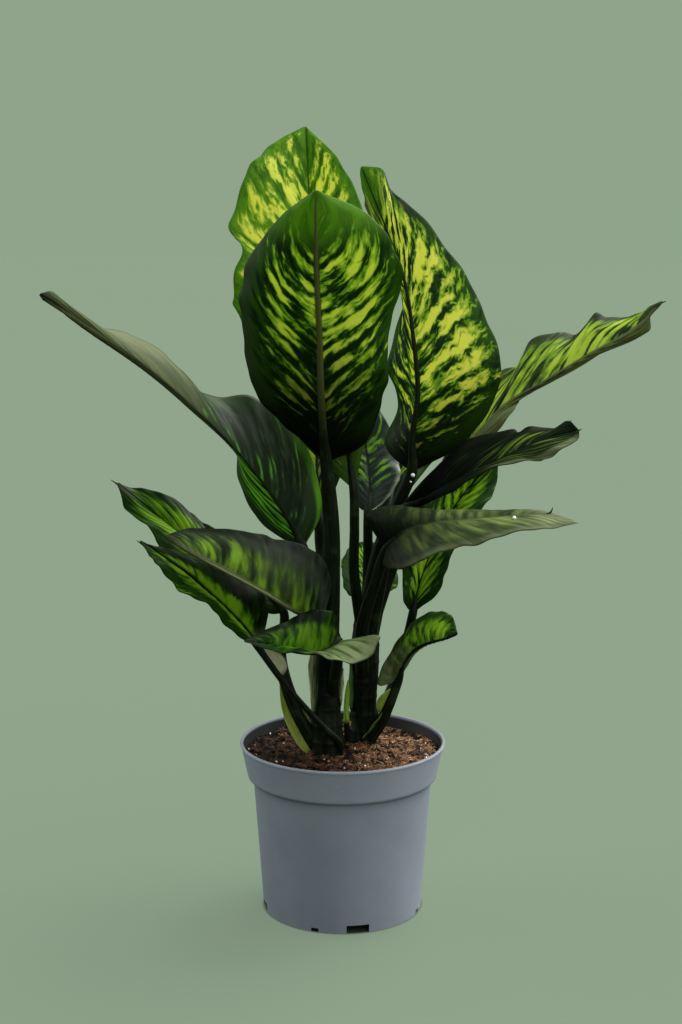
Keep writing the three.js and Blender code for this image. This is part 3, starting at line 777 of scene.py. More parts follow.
def makeCane(cane):
    path = toMetres(cane["path"])

    def radiusAt(v, turn):
        ring = 0.0
        for k in range(caneScars["count"]):
            ring += math.exp(-((v - caneScars["first"] - k * caneScars["apart"]) / caneScars["width"]) ** 2)
        ridge = 0.28 * math.sin(turn * 5 + v * 9) + 0.16 * math.sin(turn * 11 + v * 4)
        return (between(cane["radius"], v) - 0.7 + caneScars["height"] * ring + ridge) * mm

    return makeTube(cane["node"] + "_smooth", path, radiusAt, 48, 120, length=0.2)


caneLook = {
    "dark": (0.001, 0.002, 0.001, 1),
    "green": (0.005, 0.010, 0.003, 1),
    "pale": (0.03, 0.04, 0.016, 1),
}

shootLook = {
    "dark": (0.09, 0.20, 0.02, 1),
    "green": (0.22, 0.38, 0.04, 1),
    "pale": (0.38, 0.50, 0.12, 1),
}

caneSkin = stalkMaterial("caneSkin", caneLook, 0.3, 45.0)
shootSkin = stalkMaterial("shootSkin", shootLook, 0.4, 80.0, footTo=0.46)

for cane in canes.values():
    piece = makeCane(cane)
    piece.data.materials.append(caneSkin)
    finishPiece(piece, "cane", cane["node"])


def shootRadius(v, turn):
    furl = 1 + 0.1 * math.cos(turn * 2 + v * 7)
    return between(shootShape["radius"], v) * furl * 0.96 * mm


shoot = makeTube("shoot_smooth", toMetres(shootShape["path"]), shootRadius, 20, 70, length=0.1)
shoot.data.materials.append(shootSkin)
finishPiece(shoot, "shoot", "shoot")
print("stage: canes and shoot")

# colours of the sheaths: body, streaks and edge; then from where to where they come out of the painted
# shade
sheathLooks = {
    "fresh": ((0.190, 0.270, 0.030, 1), (0.330, 0.400, 0.070, 1), (0.44, 0.48, 0.18, 1), 0.0, 0.45),
    "green": ((0.040, 0.095, 0.012, 1), (0.070, 0.140, 0.020, 1), (0.17, 0.23, 0.10, 1), 0.0, 0.6),
    "lime": ((0.150, 0.250, 0.030, 1), (0.290, 0.380, 0.070, 1), (0.38, 0.46, 0.16, 1), -0.5, 0.0),
    # painted highlight: dry sheaths painted pale where light catches the left cane's edges
    "paintedPaleLight": ((0.110, 0.160, 0.055, 1), (0.400, 0.460, 0.220, 1), (0.60, 0.65, 0.44, 1), 0.2, 1.15),
    # pale underside flap, partly painted sheen
    "creamAndPaintedSheen": ((0.470, 0.500, 0.290, 1), (0.640, 0.650, 0.420, 1), (0.16, 0.15, 0.09, 1), -0.3, 0.1),
}

sheathThickness = 0.6 * mm

# stretch is along the stalk or cane. A wing stands off to the side by its width in mm and is widest
# in its lower part, or higher up with a lean above 1.
wings = [
    {"on": "leaf_left_upper", "skin": "fresh", "width": 11,
     "stretch": (0.0, 0.52), "side": (-0.8, -0.35, -0.5), "lean": 0.62},
    {"on": "leaf_left_upper", "skin": "lime", "width": 6,
     "stretch": (0.16, 0.48), "side": (0.6, -0.7, 0.3), "lean": 0.62},
    {"on": "leaf_right_low", "skin": "lime", "width": 10,
     "stretch": (0.45, 0.9), "side": (-0.85, -0.2, 0.3), "lean": 1.7},
    {"on": "leaf_right_low", "skin": "green", "width": 7,
     "stretch": (-0.1, 0.62), "side": (-0.7, -0.7, 0.2), "lean": 1.1},
    {"on": "leaf_left_low", "skin": "creamAndPaintedSheen", "width": 13,
     "stretch": (0.8, 1.0), "side": (0.9, -0.3, 0.2), "lean": 0.62},
    {"on": "leaf_left_long", "skin": "green", "width": 4,
     "stretch": (0.0, 0.5), "side": (-0.9, -0.4, 0), "lean": 0.62},
]

# A shell reaches from edge to last, in degrees round the cane with the front at -90, both listed
# from its foot up.
shells = [
    # the two shells on the left cane are painted pale as a highlight
    {"on": "left", "stretch": (0.38, 0.93), "skin": "paintedPaleLight",
     "edge": [196, 190, 184, 182, 180, 178], "last": [220, 238, 248, 250, 250, 240]},
    {"on": "left", "stretch": (0.46, 0.7), "skin": "paintedPaleLight",
     "edge": [-14, -10, -8, -8, -12], "last": [-30, -40, -46, -40, -26]},
    {"on": "right", "stretch": (0.36, 0.66), "skin": "green",
     "edge": [-168, -172, -172, -170], "last": [-140, -136, -138, -150]},
]


def sheathMaterial(name, body, streaks, edge, darkTo, lightFrom):
    made, tree = newMaterial(name)
    across, upward = addNode(tree, "SeparateXYZ", {0: attributePlace(tree, "stalkPlace")}).outputs[0:2]
    fine = combine(tree, calc(tree, "MULTIPLY", across, 6.0), calc(tree, "MULTIPLY", upward, 2.0), 0.0)
    lines = grain(tree, fine, 2.0, 3.0, 0.6)
    colour = mixColour(tree, ramp(tree, lines, 0.36, 0.64), body, streaks)
    colour = mixColour(tree, ramp(tree, across, 0.88, 0.98), colour, edge)
    # painted shade: towards the stalk or cane it is painted into the stalk's dark green, and darker at its
    # foot
    uneven = calc(tree, "MULTIPLY_ADD", lines, 0.4, across)
    colour = mixColour(tree, ramp(tree, uneven, darkTo, lightFrom, 1.0, 0.0), colour, stalkLook["green"])
    colour = mixColour(tree, ramp(tree, upward, 0.0, 0.16, 0.7, 0.0), colour, stalkLook["dark"])
    shader = principled(tree, colour, ramp(tree, lines, 0.3, 0.7, 0.45, 0.6), 0.1, lines, 0.4, 0.0008)
    showThin(tree, shader, colour, 0.3)
    return made


def sheathMarks(u, v):
    return {"stalkPlace": (u, v, 0)}


def finishSheath(sheath, skin):
    useModifier(sheath, "SOLIDIFY", thickness=sheathThickness, offset=0)
    inEditMode(sheath, mergeSeam, facesOut)
    bpy.ops.object.shade_smooth()
    sheath.data.materials.append(sheathSkins[skin])
    finishPiece(sheath, "shoot")


def makeWing(count, wing):
    shape = leafShapes[wing["on"]]
    path = toMetres(shape["stem"] + shape["midrib"][:1])
    radii = shape["stemRadius"]
    low, high = wing["stretch"]
    side = Vector(wing["side"]).normalized()

    def place(u, v):
        share = low + (high - low) * v
        ahead = (along(path, share + 0.02) - along(path, share - 0.02)).normalized()
        out = (side - ahead * side.dot(ahead)).normalized()
        turned = ahead.cross(out)
        swell = max(math.sin(math.pi * v ** wing["lean"]), 0) ** 0.8 + 0.02
        reach = between(radii, share) * 0.7 + wing["width"] * swell * u
        curl = 2.2 * math.sin(u * 2.2) * swell + 0.5 * math.sin(v * 17) * u
        return along(path, share) + (out * reach + turned * curl) * mm

    finishSheath(layGrid("sheath_wing_" + str(count), 8, 36, place, sheathMarks), wing["skin"])


def makeShell(count, shell):
    cane = canes[shell["on"]]
    path = toMetres(cane["path"])
    low, high = shell["stretch"]

    def place(u, v):
        share = low + (high - low) * v
        turn = math.radians(between(shell["last"], v) * (1 - u) + between(shell["edge"], v) * u)
        standsOff = 0.3 + u ** 3 * math.sin(math.pi * v) + 0.3 * math.sin(v * 14)
        reach = between(cane["radius"], share) + standsOff
        return along(path, share) + Vector((math.cos(turn), math.sin(turn), 0)) * reach * mm

    finishSheath(layGrid("sheath_shell_" + str(count), 14, 40, place, sheathMarks), shell["skin"])


# stem and stemRadius are the path and radii of the stalk in mm, from the cane up. midrib, left and right
# are points on the blade, the tip last. The left margin is the left one on the upper side with the tip up.
# bulge arches the blade in mm; wave is height, waves and start of the ripple in the margins; scallop is
# how far the margins swing in and out, as a share of the half width.
leafShapes = {
    "leaf_front_tall": {
        "size": "tall",
        "stem": [(-14, -22, 280), (-12, -27, 340), (-11, -31, 405)],
        "stemRadius": [10, 9, 7.5, 6],
        "midrib": [
            (-16, -34, 472), (-19, -42, 506), (-21, -50, 549), (-22, -58, 598), (-24, -64, 646),
            (-25, -68, 695), (-25, -68, 734),
        ],
        "left": [(24, -22, 491), (41, -20, 536), (44, -24, 593), (58, -32, 653), (28, -48, 708)],
        "right": [(-57, -22, 507), (-91, -20, 550), (-97, -24, 611), (-92, -32, 666), (-60, -48, 707)],
        "bulge": -8,
        "wave": (4, 3, 0.1),
        "slant": (0.25, 0.27),
    },
    "leaf_back_tall": {
        "size": "tall",
        "stem": [(20, 10, 290), (12, 0, 350), (12, -5, 400)],
        "stemRadius": [6, 5, 4.5, 4.5],
        "midrib": [
            (11, -4, 441), (4, 8, 487), (-6, 24, 540), (-18, 40, 604), (-28, 56, 669), (-34, 70, 733),
            (-37, 80, 796),
        ],
        "left": [
            (-42, 4, 488), (-84, 14, 549), (-99, 24, 604), (-111, 30, 631), (-101, 38, 674),
            (-111, 44, 697), (-100, 54, 742), (-83, 62, 768), (-60, 70, 785),
        ],
        "right": [(24, 4, 500), (34, 16, 556), (35, 30, 625), (24, 46, 696), (1, 62, 757)],
        "bulge": 5,
        "wave": (5, 3.5, 0.25),
        "slant": (0.06, 0.1),
        "scallop": 0.017,
    },
    "leaf_right_tall": {
        "size": "tall",
        "stem": [(24, 13, 300), (36, 7, 368), (55, -3, 422)],
        "stemRadius": [8, 7, 6, 5.5],
        "midrib": [
            (69, -8, 458), (70, -10, 494), (75, -10, 538), (70, -6, 593), (61, 2, 647), (43, 16, 697),
            (19, 32, 756),
        ],
        "left": [
            (122, -4, 487), (156, 4, 545), (145, 10, 605), (114, 18, 663), (66, 26, 717), (48, 30, 735),
            (39, 32, 753),
        ],
        "right": [
            (44, 30, 480), (55, 48, 520), (50, 56, 560), (61, 62, 623), (48, 60, 685), (27, 50, 715),
            (18, 40, 737),
        ],
        "bulge": -5,
        "wave": (4, 3, 0.6),
        "slant": (0.03, 0.14),
    },
    "leaf_left_long": {
        "size": "long",
        "stem": [(-19, -14, 262), (-30, -5, 325)],
        "stemRadius": [7, 6, 5.5],
        "midrib": [
            (-40, -8, 380), (-59, -16, 418), (-93, -26, 468), (-134, -38, 515), (-180, -52, 560),
            (-230, -68, 600), (-284, -82, 638),
        ],
        "left": [
            (-81, -2, 403), (-102, 0, 448), (-117, 12, 496), (-172, -6, 549), (-228, -40, 595),
            (-265, -72, 624), (-278, -78, 630),
        ],
        "right": [
            (-21, 0, 425), (-43, 20, 495), (-89, 26, 525), (-132, 16, 532), (-161, 4, 559),
            (-207, -24, 593), (-240, -50, 612), (-262, -70, 626), (-272, -76, 640),
        ],
        "bulge": 4,
        "wave": (4, 4, 0),
        "slant": (0.3, 0.1),
    },
    "leaf_left_upper": {
        "size": "small",
        "stem": [(-22, -16, 168), (-50, -6, 216), (-63, 4, 262)],
        "stemRadius": [9, 7, 5.5, 4.5],
        "midrib": [
            (-60, 12, 309), (-82, 20, 328), (-110, 30, 347), (-139, 44, 364), (-169, 58, 382),
            (-201, 72, 404), (-236, 84, 430),
        ],
        "left": [
            (-80, 4, 311), (-117, 10, 325), (-156, 24, 346), (-188, 42, 369), (-203, 56, 390),
            (-226, 70, 406), (-233, 80, 422),
        ],
        "right": [
            (-68, 30, 343), (-94, 48, 370), (-135, 64, 385), (-158, 74, 401), (-175, 80, 413),
            (-202, 84, 423), (-227, 86, 427),
        ],
        "bulge": 3,
        "wave": (3, 3, 0.2),
        "slant": (0.2, 0.2),
    },
    "leaf_left_front": {
        "size": "long",
        "stem": [(-16, -28, 262), (-19, -38, 290)],
        "stemRadius": [7, 6, 5.5],
        "midrib": [
            (-20, -42, 316), (-44, -54, 323), (-70, -72, 344), (-98, -90, 365), (-124, -104, 383),
            (-146, -114, 398), (-167, -120, 414),
        ],
        "left": [(-42, -34, 328), (-68, -38, 348), (-95, -50, 366), (-123, -70, 384), (-146, -94, 399)],
        "right": [
            (-11, -42, 355), (-30, -46, 386), (-66, -54, 399), (-107, -74, 411), (-143, -100, 418),
        ],
        "bulge": 4,
        "wave": (2.5, 3, 0.4),
        "slant": (0.24, 0.22),
    },
    "leaf_left_low": {
        "size": "small",
        "stem": [(-6, -24, 164), (-3, -34, 184), (-24, -43, 209), (-56, -45, 247)],
        "stemRadius": [3.8, 3.4, 3.1, 3.1, 4],
        "midrib": [
            (-85, -30, 284), (-99, -40, 306), (-115, -50, 326), (-134, -60, 347), (-152, -68, 366),
            (-172, -74, 382), (-195, -78, 401),
        ],
        "left": [
            (-97, -55, 297), (-117, -78, 323), (-134, -94, 343), (-155, -102, 360), (-176, -98, 378),
            (-184, -88, 389),
        ],
        "right": [
            (-77, -14, 305), (-81, -10, 335), (-111, -18, 354), (-141, -36, 376), (-167, -56, 389),
            (-183, -72, 394),
        ],
        "bulge": 4,
        "wave": (2.5, 3, 0.7),
        "slant": (0.2, 0.2),
    },
    "leaf_front_low": {
        "size": "small",
        "stem": [(-12, -26, 232), (-6, -46, 266)],
        "stemRadius": [6, 5, 4.5],
        "midrib": [
            (-4, -58, 297), (-17, -72, 291), (-33, -84, 292), (-49, -92, 296), (-64, -98, 301),
            (-79, -102, 305), (-94, -104, 308),
        ],
        "left": [(36, -72, 305), (23, -92, 287), (-7, -106, 291), (-36, -112, 297), (-67, -112, 302)],
        "right": [(-3, -54, 315), (-12, -62, 328), (-34, -72, 330), (-55, -82, 322), (-78, -94, 315)],
        "bulge": 3,
        "wave": (2, 2.5, 0.3),
        "slant": (0.2, 0.16),
    },
    "leaf_right_long": {
        "size": "long",
        "stem": [(27, 15, 284), (50, 22, 352), (74, 16, 412)],
        "stemRadius": [7, 6, 5, 4.5],
        "midrib": [
            (98, 14, 456), (129, 20, 485), (164, 28, 520), (205, 38, 543), (249, 48, 568),
            (297, 56, 594), (326, 62, 621),
        ],
        "left": [
            (130, 46, 521), (160, 58, 550), (182, 66, 559), (193, 72, 578), (220, 78, 588),
            (242, 80, 590), (260, 84, 605), (277, 82, 602), (301, 76, 609), (314, 68, 615),
        ],
        "right": [
            (142, 4, 486), (169, 6, 511), (181, 40, 525), (211, 68, 542), (262, 76, 571),
            (285, 76, 584), (298, 72, 583), (313, 68, 595), (315, 64, 611),
        ],
        "bulge": 4,
        "wave": (4, 3.5, 0.5),
        "slant": (0.16, 0.16),
    },
    "leaf_right_middle": {
        "size": "small",
        "stem": [(25, 7, 268), (37, -9, 338), (48, -14, 388)],
        "stemRadius": [7, 6, 5, 4.5],
        "midrib": [
            (55, -18, 418), (82, -28, 435), (110, -38, 453), (142, -48, 470), (172, -58, 487),
            (199, -66, 500), (226, -72, 508),
        ],
        "left": [
            (78, -24, 450), (112, -22, 482), (127, -22, 493), (166, -26, 504), (172, -34, 499),
            (187, -42, 507), (206, -54, 509), (217, -66, 516),
        ],
        "right": [
            (71, -24, 423), (105, -52, 446), (140, -66, 465), (174, -76, 480), (196, -82, 482),
            (214, -82, 493), (225, -76, 501),
        ],
        "bulge": 3,
        "wave": (3, 3, 0.1),
        "slant": (0.3, 0.36),
    },
    "leaf_right_front": {
        "size": "long",
        "stem": [(21, 8, 236), (20, -22, 300), (33, -40, 352)],
        "stemRadius": [7, 6, 5, 5],
        "midrib": [
            (43, -48, 386), (58, -62, 407), (83, -74, 417), (113, -84, 422), (150, -94, 427),
            (189, -100, 430), (223, -104, 424),
        ],
        "left": [(23, -34, 417), (53, -36, 427), (92, -42, 423), (134, -58, 422), (178, -80, 430)],
        "right": [
            (42, -74, 374), (66, -102, 382), (106, -118, 402), (148, -126, 415), (190, -120, 421),
        ],
        "bulge": 6,
        "wave": (2.5, 3, 0),
        "slant": (0.2, 0.2),
    },
    "leaf_right_back": {
        "size": "small",
        "stem": [(26, 18, 174), (40, 27, 196), (54, 33, 230), (65, 33, 268)],
        "stemRadius": [7, 6, 5, 4.5, 4.5],
        "midrib": [
            (73, 32, 304), (78, 40, 326), (88, 52, 353), (102, 66, 382), (119, 80, 408), (140, 94, 432),
            (164, 106, 460),
        ],
        "left": [(62, 30, 319), (63, 40, 347), (68, 52, 381), (92, 66, 420), (121, 86, 448)],
        "right": [(97, 26, 325), (110, 36, 352), (122, 48, 387), (150, 66, 410), (162, 86, 433)],
        "bulge": 3,
        "wave": (2.5, 3, 0.3),
        "slant": (0.26, 0.26),
    },
    "leaf_right_low": {
        "size": "small",
        "stem": [(25, 9, 174), (38, 0, 194), (46, -5, 212)],
        "stemRadius": [8, 6.5, 5.5, 4.5],
        "midrib": [
            (57, -8, 242), (62, -16, 261), (71, -24, 276), (83, -32, 286), (94, -38, 291),
            (104, -42, 295), (114, -44, 300),
        ],
        "left": [(37, -2, 237), (45, 2, 264), (70, 10, 294), (92, 8, 311), (110, -12, 311)],
        "right": [(59, 4, 244), (69, 10, 265), (80, 8, 279), (91, 4, 286), (103, -14, 291)],
        "bulge": 3,
        "wave": (2, 2.5, 0.6),
        "slant": (0.22, 0.22),
    },
    "leaf_centre_back": {
        "size": "small",
        "stem": [(24, 17, 286), (26, 28, 345), (26, 25, 384)],
        "stemRadius": [5.5, 5, 4.5, 4.5],
        "midrib": [
            (26, 22, 412), (28, 32, 432), (27, 44, 451), (24, 56, 470), (20, 66, 489), (14, 74, 509),
            (6, 82, 531),
        ],
        "left": [(16, 26, 417), (10, 40, 439), (2, 54, 462), (-4, 66, 487), (0, 76, 511)],
        "right": [(42, 26, 420), (58, 38, 441), (57, 56, 464), (47, 70, 494), (31, 78, 517)],
        "bulge": 3,
        "wave": (2, 3, 0.2),
    },
    "leaf_rear_low": {
        "size": "small",
        "stem": [(20, 18, 222), (16, 37, 268)],
        "stemRadius": [5.5, 5, 4.5],
        "midrib": [
            (19, 42, 310), (22, 60, 317), (24, 88, 321), (26, 120, 327), (27, 154, 333), (30, 187, 337),
            (34, 217, 340),
        ],
        "left": [(6, 50, 321), (-1, 78, 331), (0, 112, 340), (6, 144, 347), (16, 178, 348)],
        "right": [(45, 50, 319), (58, 78, 324), (58, 112, 331), (54, 144, 340), (47, 178, 344)],
        "bulge": 3,
        "wave": (3, 3, 0.8),
    },
    "leaf_rear_left": {
        "size": "small",
        "stem": [(-12, -12, 250), (-13, 14, 322), (-22, 28, 368)],
        "stemRadius": [6.5, 5.5, 5, 5],
        "midrib": [
            (-24, 32, 402), (-26, 56, 442), (-27, 86, 478), (-29, 119, 508), (-31, 150, 530),
            (-34, 180, 544), (-38, 210, 550),
        ],
        "left": [(-54, 48, 432), (-76, 82, 474), (-80, 118, 508), (-74, 150, 532), (-58, 182, 548)],
        "right": [(-4, 50, 438), (16, 86, 482), (22, 122, 516), (14, 154, 538), (-6, 184, 552)],
        "bulge": 4,
        "wave": (3, 3, 0.5),
    },
    "leaf_rear_right": {
        "size": "small",
        "stem": [(24, 18, 248), (37, 38, 306), (44, 48, 360)],
        "stemRadius": [6, 5.5, 5, 5],
        "midrib": [
            (46, 56, 400), (55, 82, 434), (66, 110, 464), (79, 140, 488), (92, 170, 506),
            (105, 200, 518), (117, 230, 522),
        ],
        "left": [(28, 68, 422), (42, 98, 454), (53, 130, 482), (65, 162, 504), (85, 196, 518)],
        "right": [(70, 78, 424), (96, 110, 450), (118, 140, 474), (130, 168, 494), (128, 198, 508)],
        "bulge": 4,
        "wave": (3, 3, 0.9),
    },
}

# the grid of a blade, its number of side veins and the height of the pleats between them in mm
leafMeshes = {
    "tall": {"rows": 150, "columns": 64, "veins": 18, "pleat": 0.9},
    "long": {"rows": 150, "columns": 52, "veins": 20, "pleat": 0.8},
    "small": {"rows": 110, "columns": 44, "veins": 14, "pleat": 0.7},
}

# thickness, frill, ribRadius and ribEnd are in mm, ribBelow is the share of its radius by which the midrib
# runs under the blade; a leaf may name its own slant and scallop
leafBuild = {
    "thickness": 0.9,
    "slant": (0.25, 0.25),
    "frill": 0.9,
    "scallop": 0.010,
    "ribRadius": [2.6, 2.3, 2.0, 1.6, 1.2, 0.7],
    "ribEnd": 0.5,
    "ribBelow": 0.55,
}


# a margin begins 2 mm beside the foot of the midrib and ends 1 mm beside its tip
def sideMargin(middle, points, way, side, endWay):
    first = middle[0] + way * (2 * side * mm)
    last = middle[-1] + endWay * (side * mm)
    return [first, *points, last]


# Everything that one row across a blade needs, worked out once for each row.
def bladeRows(shape, rows):
    middle = toMetres(shape["midrib"])
    left, right = toMetres(shape["left"]), toMetres(shape["right"])
    foot = (right[0] - left[0]).normalized()
    end = (right[-1] - left[-1]).normalized()
    leftEdge = sideMargin(middle, left, foot, -1, end)
    rightEdge = sideMargin(middle, right, foot, 1, end)
    made = []
    for row in range(rows + 1):
        t = row / rows
        heading = along(middle, min(t + 0.01, 1)) - along(middle, max(t - 0.01, 0))
        centre = along(middle, t)
        reach = {-1: along(leftEdge, t) - centre, 1: along(rightEdge, t) - centre}
        up = {k: (reach[k] * k).cross(heading.normalized()).normalized() for k in reach}
        made.append((t, centre, reach, up))
    return made


# how far the side veins climb from the rib to either margin is the slant
def veinNumber(shape, count, t, v):
    s = abs(v)
    climb = shape.get("slant", leafBuild["slant"])[1 if v > 0 else 0] * s ** 1.2 * (1 - 0.15 * t)
    return count * (t - climb) + 0.18 * math.sin(9 * t + 4 * s) + 5


def bladePoint(shape, mesh, row, v):
    t, centre, reach, up = row
    k = 1 if v > 0 else -1
    a = abs(v)
    height, waves, start = shape["wave"]
    swell = math.sin(math.pi * t) ** 0.7 if 0 < t < 1 else 0.0
    shift = start if v > 0 else start + 0.37
    arch = shape["bulge"] * 4 * a * (1 - a)
    ripple = height * a * a * math.sin(2 * math.pi * (waves * t + shift))
    frill = leafBuild["frill"] * a ** 5 * math.sin(2 * math.pi * (waves * 3.3 * t + shift * 2))
    fold = 0.5 - 0.5 * math.cos(2 * math.pi * veinNumber(shape, mesh["veins"], t, v))
    pleat = mesh["pleat"] * fold * min(a * 6, 1) * (1 - a ** 3)
    lift = (arch + ripple + frill + pleat) * swell * mm
    uneven = math.sin(2 * math.pi * (7.3 * t + 3 * shift))
    uneven += 0.7 * math.sin(2 * math.pi * (12.7 * t + shift))
    spread = 1 + shape.get("scallop", leafBuild["scallop"]) * a ** 4 * uneven * swell
    return centre + reach[k] * a * spread + up[k] * lift


def makeBlade(name, shape):
    mesh = leafMeshes[shape["size"]]
    rows = bladeRows(shape, mesh["rows"])

    def place(u, v):
        return bladePoint(shape, mesh, rows[round(v * mesh["rows"])], 2 * u - 1)

    def marks(u, v):
        across = 2 * u - 1
        reach = rows[round(v * mesh["rows"])][2][1 if across > 0 else -1].length / mm
        return {
            "leafPlace": (across, v, veinNumber(shape, mesh["veins"], v, across)),
            "ribPlace": (across * reach, reach, 0),
        }

    blade = layGrid(name + "_blade", mesh["columns"], mesh["rows"], place, marks)
    useModifier(blade, "SOLIDIFY", thickness=leafBuild["thickness"] * mm, offset=0)
    inEditMode(blade, mergeSeam)
    return blade


# the share of a stalk at which its midrib begins
def ribStart(shape):
    stem = len(shape["stem"])
    return stem / (stem + len(shape["midrib"]) - 1)


# The stalk goes on under the blade as its midrib.
def makeStalk(name, shape, ribScale):
    middle = toMetres(shape["midrib"])
    rows = bladeRows(shape, len(middle) - 1)
    below = middle[:1]
    for spot, row, radius in zip(middle[1:], rows[1:], leafBuild["ribRadius"]):
        up = row[3]
        below.append(spot - (up[1] + up[-1]).normalized() * leafBuild["ribBelow"] * radius * mm)
    path = toMetres(shape["stem"]) + below
    ribRadii = [radius * ribScale for radius in leafBuild["ribRadius"][1:]]
    radii = shape["stemRadius"] + ribRadii + [leafBuild["ribEnd"]]
    ribbed = ribStart(shape)

    def radiusAt(v, turn):
        groove = 0.1 * math.cos(turn * 2 + 1) + 0.05 * math.sin(turn * 7 + v * 5)
        return between(radii, v) * (1 + groove * (1 - softStep(ribbed - 0.1, ribbed + 0.05, v))) * mm

    length = sum((b - a).length for a, b in zip(path, path[1:]))
    return makeTube(name + "_stalk", path, radiusAt, 16, 12 * (len(path) - 1), length=length)


# Three kinds of colouring: the tall bright leaves, the deep green lower ones, the greyish upper sides.
leafColours = {
    "bright": {
        "dark": (0.005, 0.024, 0.003, 1),
        "green": (0.026, 0.095, 0.003, 1),
        "lime": (0.17, 0.36, 0.010, 1),
        "yellow": (0.75, 0.76, 0.11, 1),
        "ribs": (0.010, 0.022, 0.004, 1),
    },
    "deep": {
        "dark": (0.002, 0.011, 0.001, 1),
        "green": (0.012, 0.050, 0.002, 1),
        "lime": (0.055, 0.170, 0.004, 1),
        "yellow": (0.18, 0.36, 0.010, 1),
        "ribs": (0.003, 0.009, 0.002, 1),
    },
    "grey": {
        "dark": (0.007, 0.018, 0.005, 1),
        "green": (0.022, 0.044, 0.014, 1),
        "lime": (0.075, 0.145, 0.022, 1),
        "yellow": (0.21, 0.31, 0.040, 1),
        "ribs": (0.010, 0.022, 0.007, 1),
    },
}

# what a patch of a blade may turn to
patchColours = {
    # pale: partly paler parts of the leaves, partly painted sheen where a face turns to the light
    "paleAndPaintedSheen": (0.255, 0.305, 0.155, 1),
    # cream: pale undersides, partly painted sheen
    "creamAndPaintedSheen": (0.29, 0.35, 0.175, 1),
    "olive": (0.130, 0.155, 0.062, 1),
    # painted sheen on upper sides and painted shade on a turned margin
    "paintedSheenAndShade": (0.040, 0.050, 0.036, 1),
    "fresh": (0.100, 0.270, 0.008, 1),
    "limeEdge": (0.150, 0.420, 0.012, 1),
    # near black: dark tips and margins, and painted shadow where one leaf shades another
    "blackAndPaintedShadow": (0.002, 0.005, 0.001, 1),
    "rimLight": (0.50, 0.54, 0.48, 1),
}

# marks: share of lime left and right of the rib; margins: where the plain edge begins on either side;
# stretch: where the marks begin and end; streak: how often they break off on the way out; fineness: how
# small they are; lined: how dark the side veins cut them; soft: how blurred they are;
# paintedFootShade: from, to and depth of the painted shade at the foot; gloss and coat: how much it shines;
# rib: how thick the midrib is; ribWidth: its stripe in mm; ribTip: colour of its last part;
# patches: colour, side, from the rib outwards, along from, along to, strength.
# A leaf's own colours stand in for those of its kind.
rearLook = {
    "kind": "deep", "marks": (0.78, 0.78), "margins": (0.9, 0.9), "stretch": (0.05, 0.88),
    "streak": 2.0, "paintedFootShade": (0.0, 0.3, 0.6), "soft": 0.1, "yellow": (0.30, 0.46, 0.015, 1),
}

